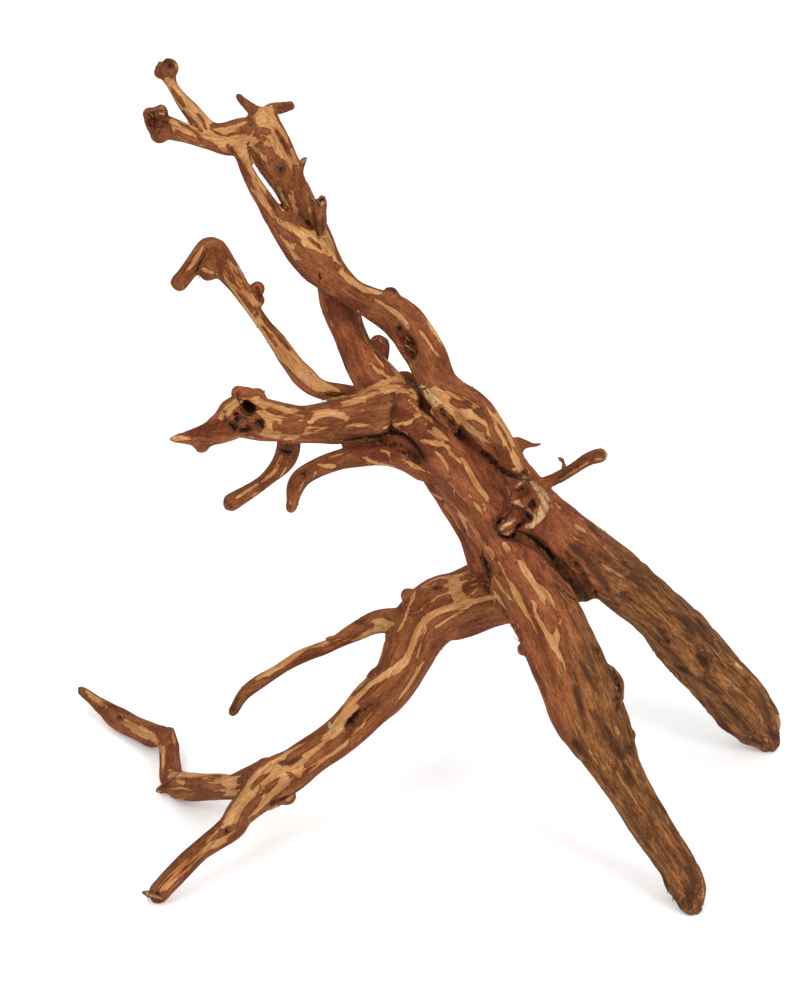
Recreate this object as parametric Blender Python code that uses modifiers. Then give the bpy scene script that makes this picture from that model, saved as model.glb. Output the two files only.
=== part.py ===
"""Snake driftwood: a dry, bleached root that grew as one piece and stands on its own low points.

Every limb is a route of knots, each (x, y, z, radius) in millimetres, chosen by eye.  A smooth
curve runs through the knots and a tube follows it, with long flutes that turn slowly about the
limb as its grain does.  The tubes grow into one another, hollows are cut where the wood has
rotted out, creases run where two limbs have grown against each other, and the low points are
worn flat where they meet the ground.

The origin is in the middle of the box round the wood, at its bottom.  +X is to the viewer's
right, +Y is away from the viewer and +Z is up.
"""

import math

import bmesh
import bpy
import numpy as np
from mathutils import Matrix, Vector

MM = 0.001

# Driving dimensions in millimetres
ROUTE_SPACING = 4.0
SURFACE_GRAIN = 1.7
HOLLOW_GRAIN = 1.3
GROUND_DEPTH = 12.0
GROUND_SIZE = 600.0
LUMP_HEIGHT = 0.45
LUMP_LENGTH = 9.0
THINNEST_RADIUS = 0.9
SMOOTHING_LOSS = 0.4
BOX_MIDDLE = (1.1, -0.8)

# Counts and shares
RING_RESOLUTION = 10
SMOOTHING_PASSES = 3
SURFACE_TRIANGLES = 10800
FLUTE_LOBES = ((2, 0.070), (3, 0.050), (5, 0.035))
FLUTE_TURN = 0.010
FULL_FLUTE_RADIUS = 9.0
ROUND_END = ((0.50, 0.87), (0.80, 0.60), (0.96, 0.28))

# The thick limbs: from the crown down to the front leg, from the crown down to the right leg,
# the fold of wood that joins those two, the ridge behind the trunk, the leg that bends out to
# the left and the foot that trails behind it
THICK_LIMBS = {
    "trunk": [
        (-81, 36, 384, 7), (-75, 35, 364, 9), (-63, 34, 341, 7), (-51, 31, 317, 6.5),
        (-44, 24, 294, 8.5), (-36, 13, 275, 8), (-24, -4, 261, 11.5), (-15, -12, 252, 14),
        (-2, -16, 240, 15), (11, -16, 225, 15), (22, -15, 208, 15), (33, -13, 188, 15),
        (43, -14, 171, 15.5), (52, -20, 155, 16), (63, -28, 142, 16.5), (70, -38, 129, 16.5),
        (77, -47, 115, 17), (83, -54, 100, 17), (91, -60, 84, 15.5), (100, -68, 68, 11),
        (118, -80, 42, 10), (128, -84, 27, 10), (136, -89, 12, 9.5), (138, -94, 5, 6.5),
    ],
    "right_leg": [
        (-91, 27, 374, 3.5), (-85, 25, 357, 4.5), (-71, 22, 337, 7.5), (-55, 16, 320, 10),
        (-37, 10, 304, 6.5), (-14, 4, 293, 8.5), (-3, -2, 279, 9), (7, -14, 263, 8),
        (24, -24, 254, 8.5), (40, -24, 232, 7.5), (48, -20, 217, 7.5), (59, -14, 196, 11),
        (71, -7, 176, 14.5), (85, 0, 158, 17), (100, 8, 143, 16), (114, 14, 127, 14.5),
        (128, 21, 110, 14.5), (141, 28, 92, 15), (154, 35, 73, 15), (169, 42, 54, 15),
        (182, 48, 35, 15), (193, 53, 18, 12), (200, 54, 6, 6.5),
    ],
    "fold": [
        (-11, -1, 259, 6), (7, -9, 247, 7), (28, -14, 225, 7.5), (47, -12, 195, 8.5),
        (59, -8, 175, 10.5), (73, -2, 156, 11.5), (81, 0, 142, 10),
    ],
    "back_ridge": [
        (1, -6, 212, 5), (18, 4, 179, 6), (25, 6, 166, 6.5), (36, 6, 141, 9),
    ],
    "left_leg": [
        (47, 1, 138, 16), (33, 6, 132, 16.5), (20, 6, 126, 16), (7, 4, 122, 16),
        (-3, -2, 112, 14), (-15, -16, 91, 11), (-33, -28, 78, 10.5), (-48, -35, 66, 9),
        (-68, -46, 57, 10), (-80, -52, 52, 10.5), (-97, -62, 39, 7.5), (-102, -67, 33, 7),
        (-118, -78, 25, 5), (-132, -86, 14, 5.5), (-139, -86, 5, 5.5),
    ],
    "trailing_foot": [
        (-81, -48, 53, 9), (-93, -41, 43, 7.5), (-104, -32, 34, 6.5), (-114, -20, 26, 6.5),
        (-126, -7, 16, 7), (-136, 6, 8, 7), (-142, 19, 5, 6), (-145, 38, 11, 5.5),
        (-149, 46, 13, 5.5), (-157, 54, 10, 6), (-178, 75, 7, 6), (-203, 97, 12, 2.5),
    ],
}

# The arms and twigs that leave the thick limbs
ARMS = {
    "snake_head": [
        (-13, -20, 253, 12), (-38, -30, 253, 11), (-60, -40, 255, 9.5), (-71, -44, 258, 10),
        (-89, -50, 264, 10.5), (-106, -54, 257, 6.5), (-123, -60, 257, 1),
    ],
    "head_twig": [
        (-67, -38, 250, 6.5), (-70, -34, 233, 5.5), (-81, -30, 218, 3.5), (-98, -29, 206, 4),
    ],
    "low_arm": [
        (1, -20, 222, 9), (-17, -28, 234, 8), (-38, -36, 235, 5.5), (-61, -46, 229, 4.5),
        (-67, -50, 214, 2),
    ],
    "hooked_arm": [
        (-27, -2, 251, 4.5), (-41, 3, 251, 4), (-53, 7, 252, 4.5), (-61, 9, 257, 6),
        (-69, 12, 266, 5), (-76, 16, 275, 4.5), (-84, 19, 285, 4), (-94, 23, 300, 4.5),
        (-104, 26, 314, 7), (-108, 26, 320, 6.5), (-113, 24, 317, 5), (-123, 16, 307, 3.5),
    ],
    "right_twig": [
        (53, -17, 206, 4.5), (62, -16, 210, 4), (78, -12, 218, 3.5), (89, -8, 222, 3.5),
    ],
    "club_twig": [
        (-125, 14, 418, 4.5), (-121, 16, 405, 3), (-115, 20, 395, 4), (-107, 26, 382, 4.5),
        (-100, 29, 378, 6), (-93, 32, 377, 6.5),
    ],
    "cup_stub": [
        (-129, 6, 392, 5.5), (-108, 20, 380, 5), (-95, 30, 377, 8), (-82, 36, 381, 7.5),
    ],
    "crown_tip_left": [
        (-83, 37, 387, 4), (-87, 42, 389, 2.5), (-91, 48, 390, 2), (-93, 52, 391, 1.5),
    ],
    "crown_tip_right": [
        (-81, 38, 386, 4), (-78, 44, 387, 3), (-73, 52, 385, 2.5), (-68, 62, 383, 2),
    ],
    "crown_spike": [
        (-64, 32, 354, 3.5), (-63, 31, 359, 2), (-61, 30, 364, 1),
    ],
    "broken_stub": [
        (-54, 20, 329, 4.5), (-53, 17, 338, 4), (-53, 15, 345, 3.5), (-52, 14, 350, 3),
    ],
    "back_stub": [
        (-27, 12, 259, 5), (-25, 18, 265, 5), (-24, 22, 270, 4.5),
    ],
    "thorn": [
        (46, -19, 234, 4.5), (53, -19, 233, 2), (58, -18, 233, 1),
    ],
    "side_twig": [
        (-9, 0, 118, 7.5), (-24, 5, 115, 6), (-37, 6, 108, 5.5), (-51, 4, 101, 3),
        (-66, -1, 97, 3), (-79, -4, 90, 2.5), (-96, -9, 80, 2.5), (-103, -13, 70, 2),
    ],
    "twig_stub": [
        (-34, 4, 112, 4), (-41, 3, 110, 2.5), (-46, 2, 107, 1.5), (-52, 2, 106, 1),
    ],
    "knee": [
        (-145, 38, 12, 4.5), (-145, 42, 16, 4), (-145, 44, 18, 3),
    ],
    "foot_spur": [
        (-141, 9, 5, 4), (-146, 6, 5, 2), (-149, 5, 5, 1),
    ],
    "foot_curl": [
        (-140, -89, 6, 3), (-144, -91, 8, 1.5), (-147, -91, 9, 1),
    ],
    "knot_lip": [
        (56, -25, 213, 2), (61, -24, 208, 2), (63, -24, 201, 2.5), (60, -27, 195, 2.5),
        (56, -27, 189, 2), (52, -25, 187, 1.5),
    ],
    "torn_nub": [
        (48, -24, 195, 3.5), (44, -28, 190, 3.5), (40, -30, 186, 3),
    ],
}

# Burls: (x, y, z, radius)
BURLS = [
    (-3, 0, 129, 8.5), (2, 2, 127, 11), (-9, -1, 135.5, 3.5), (-81, -52, 40, 5.5),
    (-74, -49, 41, 5), (-25, -15, 92, 5),
    (97, -47, 109, 4.5), (98, -49, 101, 4.5), (103, -59, 85, 5.5), (-18, 5, 304, 4),
    (-85, 20, 301, 3.5), (-84, 20, 295, 3), (-109, 24, 311, 6.5), (-87, -49, 274, 4.5),
    (-82, -47, 273, 4), (-109, -55, 252, 4), (-129, 7, 396, 3), (-128, 7, 388, 5),
    (51, -18, 203, 10), (-9, -6, 281, 4), (51, -34, 122, 3), (-91, -48, 276, 3),
]

# Hollows where the wood has rotted out, each an egg-shaped cut:
# (place, direction along it, direction through it, half sizes along, across and through)
HOLLOWS = {
    "slit_under_crown": ((-76, 23, 353), (15, -5, -20), (0, 0.88, -0.47), (13.5, 1.5, 16)),
    "eye": ((-85, -57, 272), (1, 0, 0.2), (0, 0.8, -0.6), (4.2, 3.4, 4.5)),
    "cheek": ((-90, -61, 265), (1, 0, 0.4), (0, 1, 0), (3.6, 2.8, 3.0)),
    "jaw": ((-79, -59, 264), (0.4, 0, 1), (0, 1, 0.1), (2.6, 2.0, 2.6)),
    "cup": ((-133, 10, 399), (1, 0.4, 0.6), (-0.75, 0.2, 0.6), (4.6, 4.2, 7.0)),
    "stub_mouth": ((-52, 13, 353), (1, 0, 0), (0, -0.1, 1), (2.2, 2.0, 5.0)),
    "club_mouth": ((-124, 13, 423), (1, 0, 0), (0, 0.2, 1), (2.4, 2.0, 2.6)),
    "knot_eye": ((52, -30, 195), (0.3, 0, 1), (0, 1, 0.2), (2.6, 1.8, 4.0)),
}

# Creases where limbs have grown against each other, or the bark has split:
# (half width, depth, points along it)
CREASES = {
    "under_the_strand": (3.0, 5.0, [(-1, -22, 257), (7, -22, 253), (13, -20, 246), (18, -22, 241)]),
    "under_the_lobe": (2.2, 4.0, [(26, -21, 235), (31, -26, 231), (37, -26, 223), (50, -27, 220)]),
    "head_joint": (1.6, 2.2, [(-15, -27, 263), (-16, -32, 259), (-17, -34, 253), (-17, -32, 248)]),
    "under_the_head": (2.6, 4.0, [
        (-42, -41, 246), (-33, -36, 244), (-23, -32, 243), (-17, -31, 246), (-12, -29, 243),
        (-7, -30, 238), (-3, -30, 232),
    ]),
    "between_right_legs": (2.4, 5.0, [
        (43, -28, 186), (51, -24, 183), (59, -21, 176), (66, -20, 167), (73, -18, 158),
        (80, -12, 145), (85, -8, 136),
    ]),
    "left_leg_groove": (2.6, 4.0, [(-25, -34, 88), (-29, -36, 85), (-34, -39, 82), (-39, -40, 79)]),
    "jaw_trench": (1.5, 2.4, [(-91, -60, 263), (-88, -60, 260), (-83, -59, 260), (-79, -57, 262)]),
    "root_of_head_twig": (3.0, 3.0, [(-73, -43, 241), (-67, -42, 242)]),
    "ridge_seam": (2.0, 2.5, [(12, -22, 197), (20, -17, 182), (27, -19, 172), (34, -22, 162)]),
    "arch_rot": (2.4, 2.6, [(-10, -9, 286), (-8, -10, 279)]),
}


def smooth_route(knots):
    """Points every few millimetres on a Catmull-Rom curve through (x, y, z, radius) knots."""
    knots = np.array(knots, dtype=float)
    before = 2 * knots[0] - knots[1]
    after = 2 * knots[-1] - knots[-2]
    knots = np.vstack([before, knots, after])
    stretches = []
    for a, b, c, d in zip(knots, knots[1:], knots[2:], knots[3:]):
        steps = max(2, math.ceil(np.linalg.norm((c - b)[:3]) / ROUTE_SPACING))
        t = np.arange(steps)[:, None] / steps
        bend = 2 * a - 5 * b + 4 * c - d + t * (3 * (b - c) + d - a)
        stretches.append(b + t * (c - a + t * bend) / 2)
    route = np.vstack(stretches + [knots[-2]])
    route[:, 3] = np.maximum(route[:, 3], THINNEST_RADIUS)
    return route


def with_round_ends(route):
    """The route with a few shrinking rings past each end, which close the tube as a dome."""
    def dome(end, inner):
        ahead = (end - inner)[:3] / np.linalg.norm((end - inner)[:3])
        rings = [np.append(end[:3] + ahead * end[3] * far, end[3] * wide) for far, wide in ROUND_END]
        return np.array(rings)

    return np.vstack([dome(route[0], route[1])[::-1], route, dome(route[-1], route[-2])])


def along_and_across(route):
    """Distance along the route, and two directions across it that don't turn about it."""
    places = route[:, :3]
    steps = np.diff(places, axis=0)
    distance = np.concatenate([[0.0], np.cumsum(np.linalg.norm(steps, axis=1))])
    tangents = np.gradient(places, axis=0)
    tangents /= np.linalg.norm(tangents, axis=1)[:, None]
    side = np.cross(tangents[0], (0.0, 1.0, 0.3))
    sides = []
    for tangent in tangents:
        side = side - tangent * (side @ tangent)
        side = side / np.linalg.norm(side)
        sides.append(side)
    sides = np.array(sides)
    return distance, sides, np.cross(tangents, sides)


def flute(points, route, phase):
    """Push a tube's points in and out: long lobes round the limb that turn slowly along it."""
    distance, sides, ups = along_and_across(route)
    gaps = points[:, None, :] - route[None, :, :3]
    nearest = np.argmin((gaps ** 2).sum(axis=2), axis=1)
    out = points - route[nearest, :3]
    angle = np.arctan2((out * ups[nearest]).sum(axis=1), (out * sides[nearest]).sum(axis=1))
    angle = angle + FLUTE_TURN * distance[nearest]
    share = np.minimum(route[nearest, 3] / FULL_FLUTE_RADIUS, 1.0)
    swell = sum(depth * np.cos(count * angle + phase * count ** 2) for count, depth in FLUTE_LOBES)
    return route[nearest, :3] + out * (1 + share * swell)[:, None]


def limb_mesh(name, knots, phase):
    """One limb as a closed, fluted tube."""
    route = with_round_ends(smooth_route(knots))
    curve = bpy.data.curves.new(name, "CURVE")
    curve.dimensions = "3D"
    curve.bevel_depth = MM
    curve.bevel_resolution = RING_RESOLUTION
    curve.use_fill_caps = True
    spline = curve.splines.new("POLY")
    spline.points.add(len(route) - 1)
    for point, (x, y, z, radius) in zip(spline.points, route):
        point.co = (x * MM, y * MM, z * MM, 1.0)
        point.radius = radius
    tube = bpy.data.objects.new(name, curve)
    bpy.context.scene.collection.objects.link(tube)
    mesh = mesh_of(tube)
    bpy.data.objects.remove(tube, do_unlink=True)
    bpy.data.curves.remove(curve)
    write_points(mesh, flute(read_points(mesh), route, phase))
    return mesh


def mesh_of(obj):
    """A copy of an object's mesh in the world frame, after its modifiers."""
    bpy.context.view_layer.update()
    evaluated = obj.evaluated_get(bpy.context.evaluated_depsgraph_get())
    mesh = bpy.data.meshes.new_from_object(evaluated)
    mesh.transform(obj.matrix_world)
    return mesh


def read_points(mesh):
    """A mesh's points as an array, in millimetres."""
    points = np.empty(len(mesh.vertices) * 3)
    mesh.vertices.foreach_get("co", points)
    return points.reshape(-1, 3) / MM


def write_points(mesh, points):
    """Set a mesh's points from an array in millimetres."""
    mesh.vertices.foreach_set("co", (points * MM).ravel())
    mesh.update()


def joined_limbs():
    """Every limb and burl in one mesh, their solids still running through one another."""
    bm = bmesh.new()
    for phase, (name, knots) in enumerate({**THICK_LIMBS, **ARMS}.items()):
        mesh = limb_mesh(name, knots, phase)
        bm.from_mesh(mesh)
        bpy.data.meshes.remove(mesh)
    bmesh.ops.remove_doubles(bm, verts=bm.verts, dist=0.01 * MM)
    for x, y, z, radius in BURLS:
        place = Matrix.Translation(Vector((x, y, z)) * MM)
        bmesh.ops.create_icosphere(bm, subdivisions=3, radius=radius * MM, matrix=place)
    mesh = bpy.data.meshes.new("driftwood")
    bm.to_mesh(mesh)
    bm.free()
    return mesh


def remesh(obj, grain):
    """Fuse what overlaps into one even skin."""
    skin = obj.modifiers.new("one_skin", "REMESH")
    skin.mode = "VOXEL"
    skin.voxel_size = grain * MM


def smooth(obj, passes):
    """Soften the creases where limbs meet."""
    soften = obj.modifiers.new("soften", "SMOOTH")
    soften.factor = 0.5
    soften.iterations = passes


def apply_modifiers(obj):
    """Replace an object's mesh by the one its modifiers make."""
    mesh = mesh_of(obj)
    old = obj.data
    obj.modifiers.clear()
    obj.data = mesh
    bpy.data.meshes.remove(old)


def lumps(points):
    """A gentle unevenness of the surface: products of waves in three directions."""
    x, y, z = (points / LUMP_LENGTH).T
    broad = np.sin(x + 0.7 * z) * np.sin(1.3 * y - 0.4 * x) + np.sin(0.9 * z + y) * np.sin(1.1 * x)
    narrow = np.sin(2.7 * x - 1.9 * z) * np.sin(2.3 * y + 1.3 * z)
    return LUMP_HEIGHT * (broad + 0.6 * narrow)


def distance_to_line(points, line):
    """Each point's distance to the nearest stretch of a line of straight stretches."""
    line = np.array(line, dtype=float)
    nearest = np.full(len(points), np.inf)
    for start, end in zip(line, line[1:]):
        stretch = end - start
        share = np.clip((points - start) @ stretch / (stretch @ stretch), 0.0, 1.0)
        gap = np.linalg.norm(points - start - share[:, None] * stretch, axis=1)
        nearest = np.minimum(nearest, gap)
    return nearest


def creases(points):
    """How far the creases sink the surface: a rounded valley on each side of its line."""
    depth = np.zeros(len(points))
    for half_width, deepest, line in CREASES.values():
        depth = np.maximum(depth, deepest * np.exp(-(distance_to_line(points, line) / half_width) ** 2))
    return depth


def raise_relief(mesh):
    """Move the skin along its normals: back out by what smoothing took, in lumps and creases."""
    points = read_points(mesh)
    normals = np.empty(len(mesh.vertices) * 3)
    mesh.vertices.foreach_get("normal", normals)
    height = SMOOTHING_LOSS + lumps(points) - creases(points)
    write_points(mesh, points + normals.reshape(-1, 3) * height[:, None])


def cutter(name, bm, collection):
    """A solid that only cuts: shown as wire and left out of renders."""
    mesh = bpy.data.meshes.new(name)
    bm.to_mesh(mesh)
    bm.free()
    obj = bpy.data.objects.new(name, mesh)
    obj.hide_render = True
    obj.display_type = "WIRE"
    collection.objects.link(obj)
    return obj


def ground_cutter(collection):
    """A block whose top is the ground, which wears the low points flat."""
    bm = bmesh.new()
    bmesh.ops.create_cube(bm, size=1.0)
    size = Matrix.Diagonal((GROUND_SIZE * MM, GROUND_SIZE * MM, GROUND_DEPTH * MM, 1.0))
    bm.transform(Matrix.Translation((0.0, 0.0, -GROUND_DEPTH * MM / 2)) @ size)
    return cutter("ground", bm, collection)


def hollow_cutter(name, place, along, through, half_sizes, collection):
    """An egg shape, turned so that its second direction goes into the wood."""
    through = Vector(through).normalized()
    along = Vector(along) - through * through.dot(Vector(along))
    along.normalize()
    across = through.cross(along)
    turn = Matrix((along, across, through)).transposed().to_4x4()
    size = Matrix.Diagonal((*(Vector(half_sizes) * MM), 1.0))
    bm = bmesh.new()
    bmesh.ops.create_uvsphere(bm, u_segments=16, v_segments=10, radius=1.0)
    bm.transform(Matrix.Translation(Vector(place) * MM) @ turn @ size)
    return cutter(name, bm, collection)


def cut(obj, name, other):
    """Take another solid away from an object."""
    away = obj.modifiers.new(name, "BOOLEAN")
    away.operation = "DIFFERENCE"
    away.object = other


def wood_material():
    """Dry wood under thin bark, which is worn off in patches."""
    material = bpy.data.materials.new("weathered_root_wood")
    material.use_nodes = True
    shader = material.node_tree.nodes["Principled BSDF"]
    shader.inputs["Base Color"].default_value = (0.33, 0.14, 0.055, 1.0)
    shader.inputs["Roughness"].default_value = 0.72
    shader.inputs["Metallic"].default_value = 0.0
    return material


def new_collection(name):
    """An empty collection in the scene."""
    collection = bpy.data.collections.new(name)
    bpy.context.scene.collection.children.link(collection)
    return collection


def build():
    for obj in list(bpy.data.objects):
        bpy.data.objects.remove(obj, do_unlink=True)
    solids = new_collection("driftwood_parts")
    cutters = new_collection("driftwood_cutters")

    wood = bpy.data.objects.new("driftwood", joined_limbs())
    solids.objects.link(wood)
    remesh(wood, SURFACE_GRAIN)
    smooth(wood, SMOOTHING_PASSES)
    apply_modifiers(wood)
    raise_relief(wood.data)
    for name, (place, along, through, half_sizes) in HOLLOWS.items():
        cut(wood, name, hollow_cutter(name, place, along, through, half_sizes, cutters))
    remesh(wood, HOLLOW_GRAIN)
    apply_modifiers(wood)

    fewer = wood.modifiers.new("fewer_faces", "DECIMATE")
    fewer.ratio = SURFACE_TRIANGLES / sum(len(face.vertices) - 2 for face in wood.data.polygons)
    cut(wood, "worn_feet", ground_cutter(cutters))
    wood.location = (-BOX_MIDDLE[0] * MM, -BOX_MIDDLE[1] * MM, 0.0)
    wood.data.materials.append(wood_material())


build()
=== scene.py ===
"""The looks of the snake driftwood: a dry root whose thin bark is worn off in long patches.

The skin is made again, finer than the solid it stands for, from the same routes: a tube follows
each limb, the tubes fuse into one skin, and grain, cracks and hollows are pressed into it.  Each
point of the skin knows where it is in the wood: across, up and along its limb.  The patches, the
stains and the grain all follow those directions.  What only the picture can tell, such as where a
pale streak lies, is written as the place in the picture where it shows, and is found on the skin
along the line of sight.  Lengths are in millimetres until a mesh is written.
"""

import itertools
import math
from collections import namedtuple

import bpy
import numpy as np
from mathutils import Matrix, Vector
from mathutils.bvhtree import BVHTree


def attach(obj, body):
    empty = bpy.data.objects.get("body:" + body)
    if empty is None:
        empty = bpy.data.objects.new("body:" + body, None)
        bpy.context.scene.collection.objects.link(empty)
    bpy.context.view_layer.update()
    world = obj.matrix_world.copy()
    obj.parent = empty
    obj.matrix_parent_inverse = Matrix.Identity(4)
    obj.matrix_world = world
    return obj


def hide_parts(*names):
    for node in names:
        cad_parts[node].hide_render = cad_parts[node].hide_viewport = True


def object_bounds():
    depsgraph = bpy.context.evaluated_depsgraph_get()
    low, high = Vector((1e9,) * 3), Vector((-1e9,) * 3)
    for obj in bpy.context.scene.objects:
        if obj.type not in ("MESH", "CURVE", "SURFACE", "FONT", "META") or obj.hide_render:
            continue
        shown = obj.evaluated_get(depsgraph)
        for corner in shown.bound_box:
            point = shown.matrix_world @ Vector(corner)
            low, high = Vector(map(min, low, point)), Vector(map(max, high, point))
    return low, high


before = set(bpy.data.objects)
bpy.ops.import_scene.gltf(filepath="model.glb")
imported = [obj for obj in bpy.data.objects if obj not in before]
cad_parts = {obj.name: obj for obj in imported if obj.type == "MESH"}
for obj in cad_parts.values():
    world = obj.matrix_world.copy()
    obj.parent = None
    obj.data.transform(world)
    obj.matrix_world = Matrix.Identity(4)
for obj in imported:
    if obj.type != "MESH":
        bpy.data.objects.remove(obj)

Limb = namedtuple("Limb", "places radii along sides ups tangents")
Grain = namedtuple("Grain", "width length octaves seed")

CAD_BOX = [list(corner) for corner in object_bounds()]
MM = 0.001
# The middle of the solid's box, which stands at x = y = 0 in the frame
BOX_MIDDLE = (1.1, -0.8, 0.0)

# The camera: where it looks, from how far, how far it is tilted down, and how long its lens is
LOOK_AT = (-14.6, 4.3, 190.0)
CAMERA_DISTANCE = 1150.0
CAMERA_TILT = math.radians(28.0)
AHEAD = (0.0, math.cos(CAMERA_TILT), -math.sin(CAMERA_TILT))
UPWARDS = (0.0, math.sin(CAMERA_TILT), math.cos(CAMERA_TILT))
PICTURE_SIZE = (798, 1000)
FOCAL_PIXELS = 2211.5
SENSOR_HEIGHT = 36.0

# The lights: (name, place, size, watts).  The sky's strength goes from level to overhead.
SOFT_LIGHTS = (
    ("high_left", (-600, -900, 1300), 500, 7),
    ("high_right", (800, -900, 1000), 500, 8),
)
SKY_LEVEL, SKY_OVERHEAD = 0.20, 1.34
FLOOR_HALF_SIDE = 40000.0
FLOOR_GLOW = 0.16

# The tubes: steps along a route, points round it, the least radius, and the rings that close an
# end as a dome, as (distance past the end, radius), both in radii of the end
ROUTE_SPACING = 2.0
RING_POINTS = 40
THINNEST_RADIUS = 0.9
ROUND_END = ((0.50, 0.87), (0.80, 0.60), (0.96, 0.28))
BALL_RINGS = 15
# A direction that no limb starts along
CROSSWISE = (0.0, 1.0, 0.3)

# Flutes round a tube: (how many, depth as a share of the radius), their turn in radians for each
# millimetre along it, and the radius from which on they are at full depth
FLUTE_LOBES = ((2, 0.070), (3, 0.050), (5, 0.035))
FLUTE_TURN = 0.010
FULL_FLUTE_RADIUS = 9.0

# The skin: the size of its faces when fused, rounds of smoothing and what they take off, the
# triangles that stay, and its gentle lumps
SKIN_GRAIN = 0.85
SKIN_SMOOTHING = 10
SMOOTHING_LOSS = 0.4
SKIN_TRIANGLES = 190000
LUMP_HEIGHT = 0.45
LUMP_LENGTH = 9.0

# Where limbs meet: how softly the grain of one turns into that of the next, and how far out of
# its skin a limb is looked for
SEAM = 1.6
LIMB_REACH = 12.0
FAR_AWAY = 1000.0
POINTS_AT_ONCE = 20000

# Noises drawn out along the grain, by width and length in millimetres: real fluting, furrows and
# pits of a root, and how broad and long its patches of bark, its stains and its rotten lumps are
FLUTES = Grain(6.5, 80.0, 2, 11)
WIDE_FURROWS = Grain(3.4, 40.0, 1, 21)
FINE_FURROWS = Grain(2.2, 22.0, 1, 22)
PITS = Grain(3.5, 7.0, 1, 31)
WANDER = Grain(14.0, 60.0, 3, 41)
PATCHES = Grain(5.5, 30.0, 3, 51)
DISCOLOURED = Grain(5.0, 24.0, 3, 61)
ROT_LUMPS = Grain(2.8, 2.8, 1, 71)
OCTAVE_SHIFT = 17.3

# Heights and depths of what is pressed into the skin, in millimetres
FLUTE_HEIGHT = 0.9
SMOOTH_GRAIN, FIBROUS_GRAIN = 0.30, 0.75
BETWEEN_FURROWS, FURROW_DEPTH, PIT_DEPTH = 0.45, 0.75, 0.5
ROT_HEIGHT, ROT_DEPTH = 2.4, 1.0
KNOT_DOME, KNOT_RING_HEIGHT = 1.3, 0.25
# The distance from one ring of a knot to the next
KNOT_RING = 1.5
# A crack's depth in its half widths, the share of its drawn width that is open, and its soft rim
CRACK_DEPTH = 2.0
CRACK_SHARE = 0.6
CRACK_RIM = 0.4
CRACK_REACH = 6.0

# The two thick legs on the right are fibrous, and brown from the earth: from here across or up,
# to where they are fully so
FIBROUS_ACROSS, FIBROUS_UP = (55, 110), (240, 150)
BROWN_ACROSS, BROWN_UP = (46, 102), (205, 125)

# The picture's marks: pixels between the places looked up for one, and how far out it is felt
MARK_STEP = 3
MARK_REACH = 8.0
BARE_LIMB_REACH = 40.0
THIN_BARK_REACH = 30.0
# What is stored of a mark's edge lies from so far outside of it to so far inside
EDGE_DEPTH = 3.0
# How bare a limb with thinned bark is, past the edge of a patch
HALF_BARE = 0.60

# Torn fibres: how many are strewn, how long these are, how near a patch's edge, how far in pixels
# the others lie from their named places, and each fibre's radius, rings and sides
STREWN_FIBRES = 260
STREWN_LENGTH = 2.2
STREWN_NEAR = 0.25
FIBRE_SCATTER = 3.0
THICK_FIBRE = 0.28
FIBRE_TAPER = 0.85
FIBRE_RINGS = 5
FIBRE_SIDES = 5
FIBRE_SEED = 7

# Colours in sRGB, dark and light where there are two
RED_BROWN_BARK = ("6a311c", "9c5636")
ORANGE_BROWN_BARK = ("653318", "8d532f")
EARTHY_BARK = ("5f3b1f", "8f5c31")
BARE_WOOD = ("b27a45", "c9955f")
FRAYED_WOOD = ("b07a48", "e8c490")
ROTTEN_WOOD_AND_SHADE = ("1c0d07", "78401f")
LOOSE_FIBRE = ("4a2716", "a97a4c")
PAPER = "f4f4f4"
WHITE = "ffffff"

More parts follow.
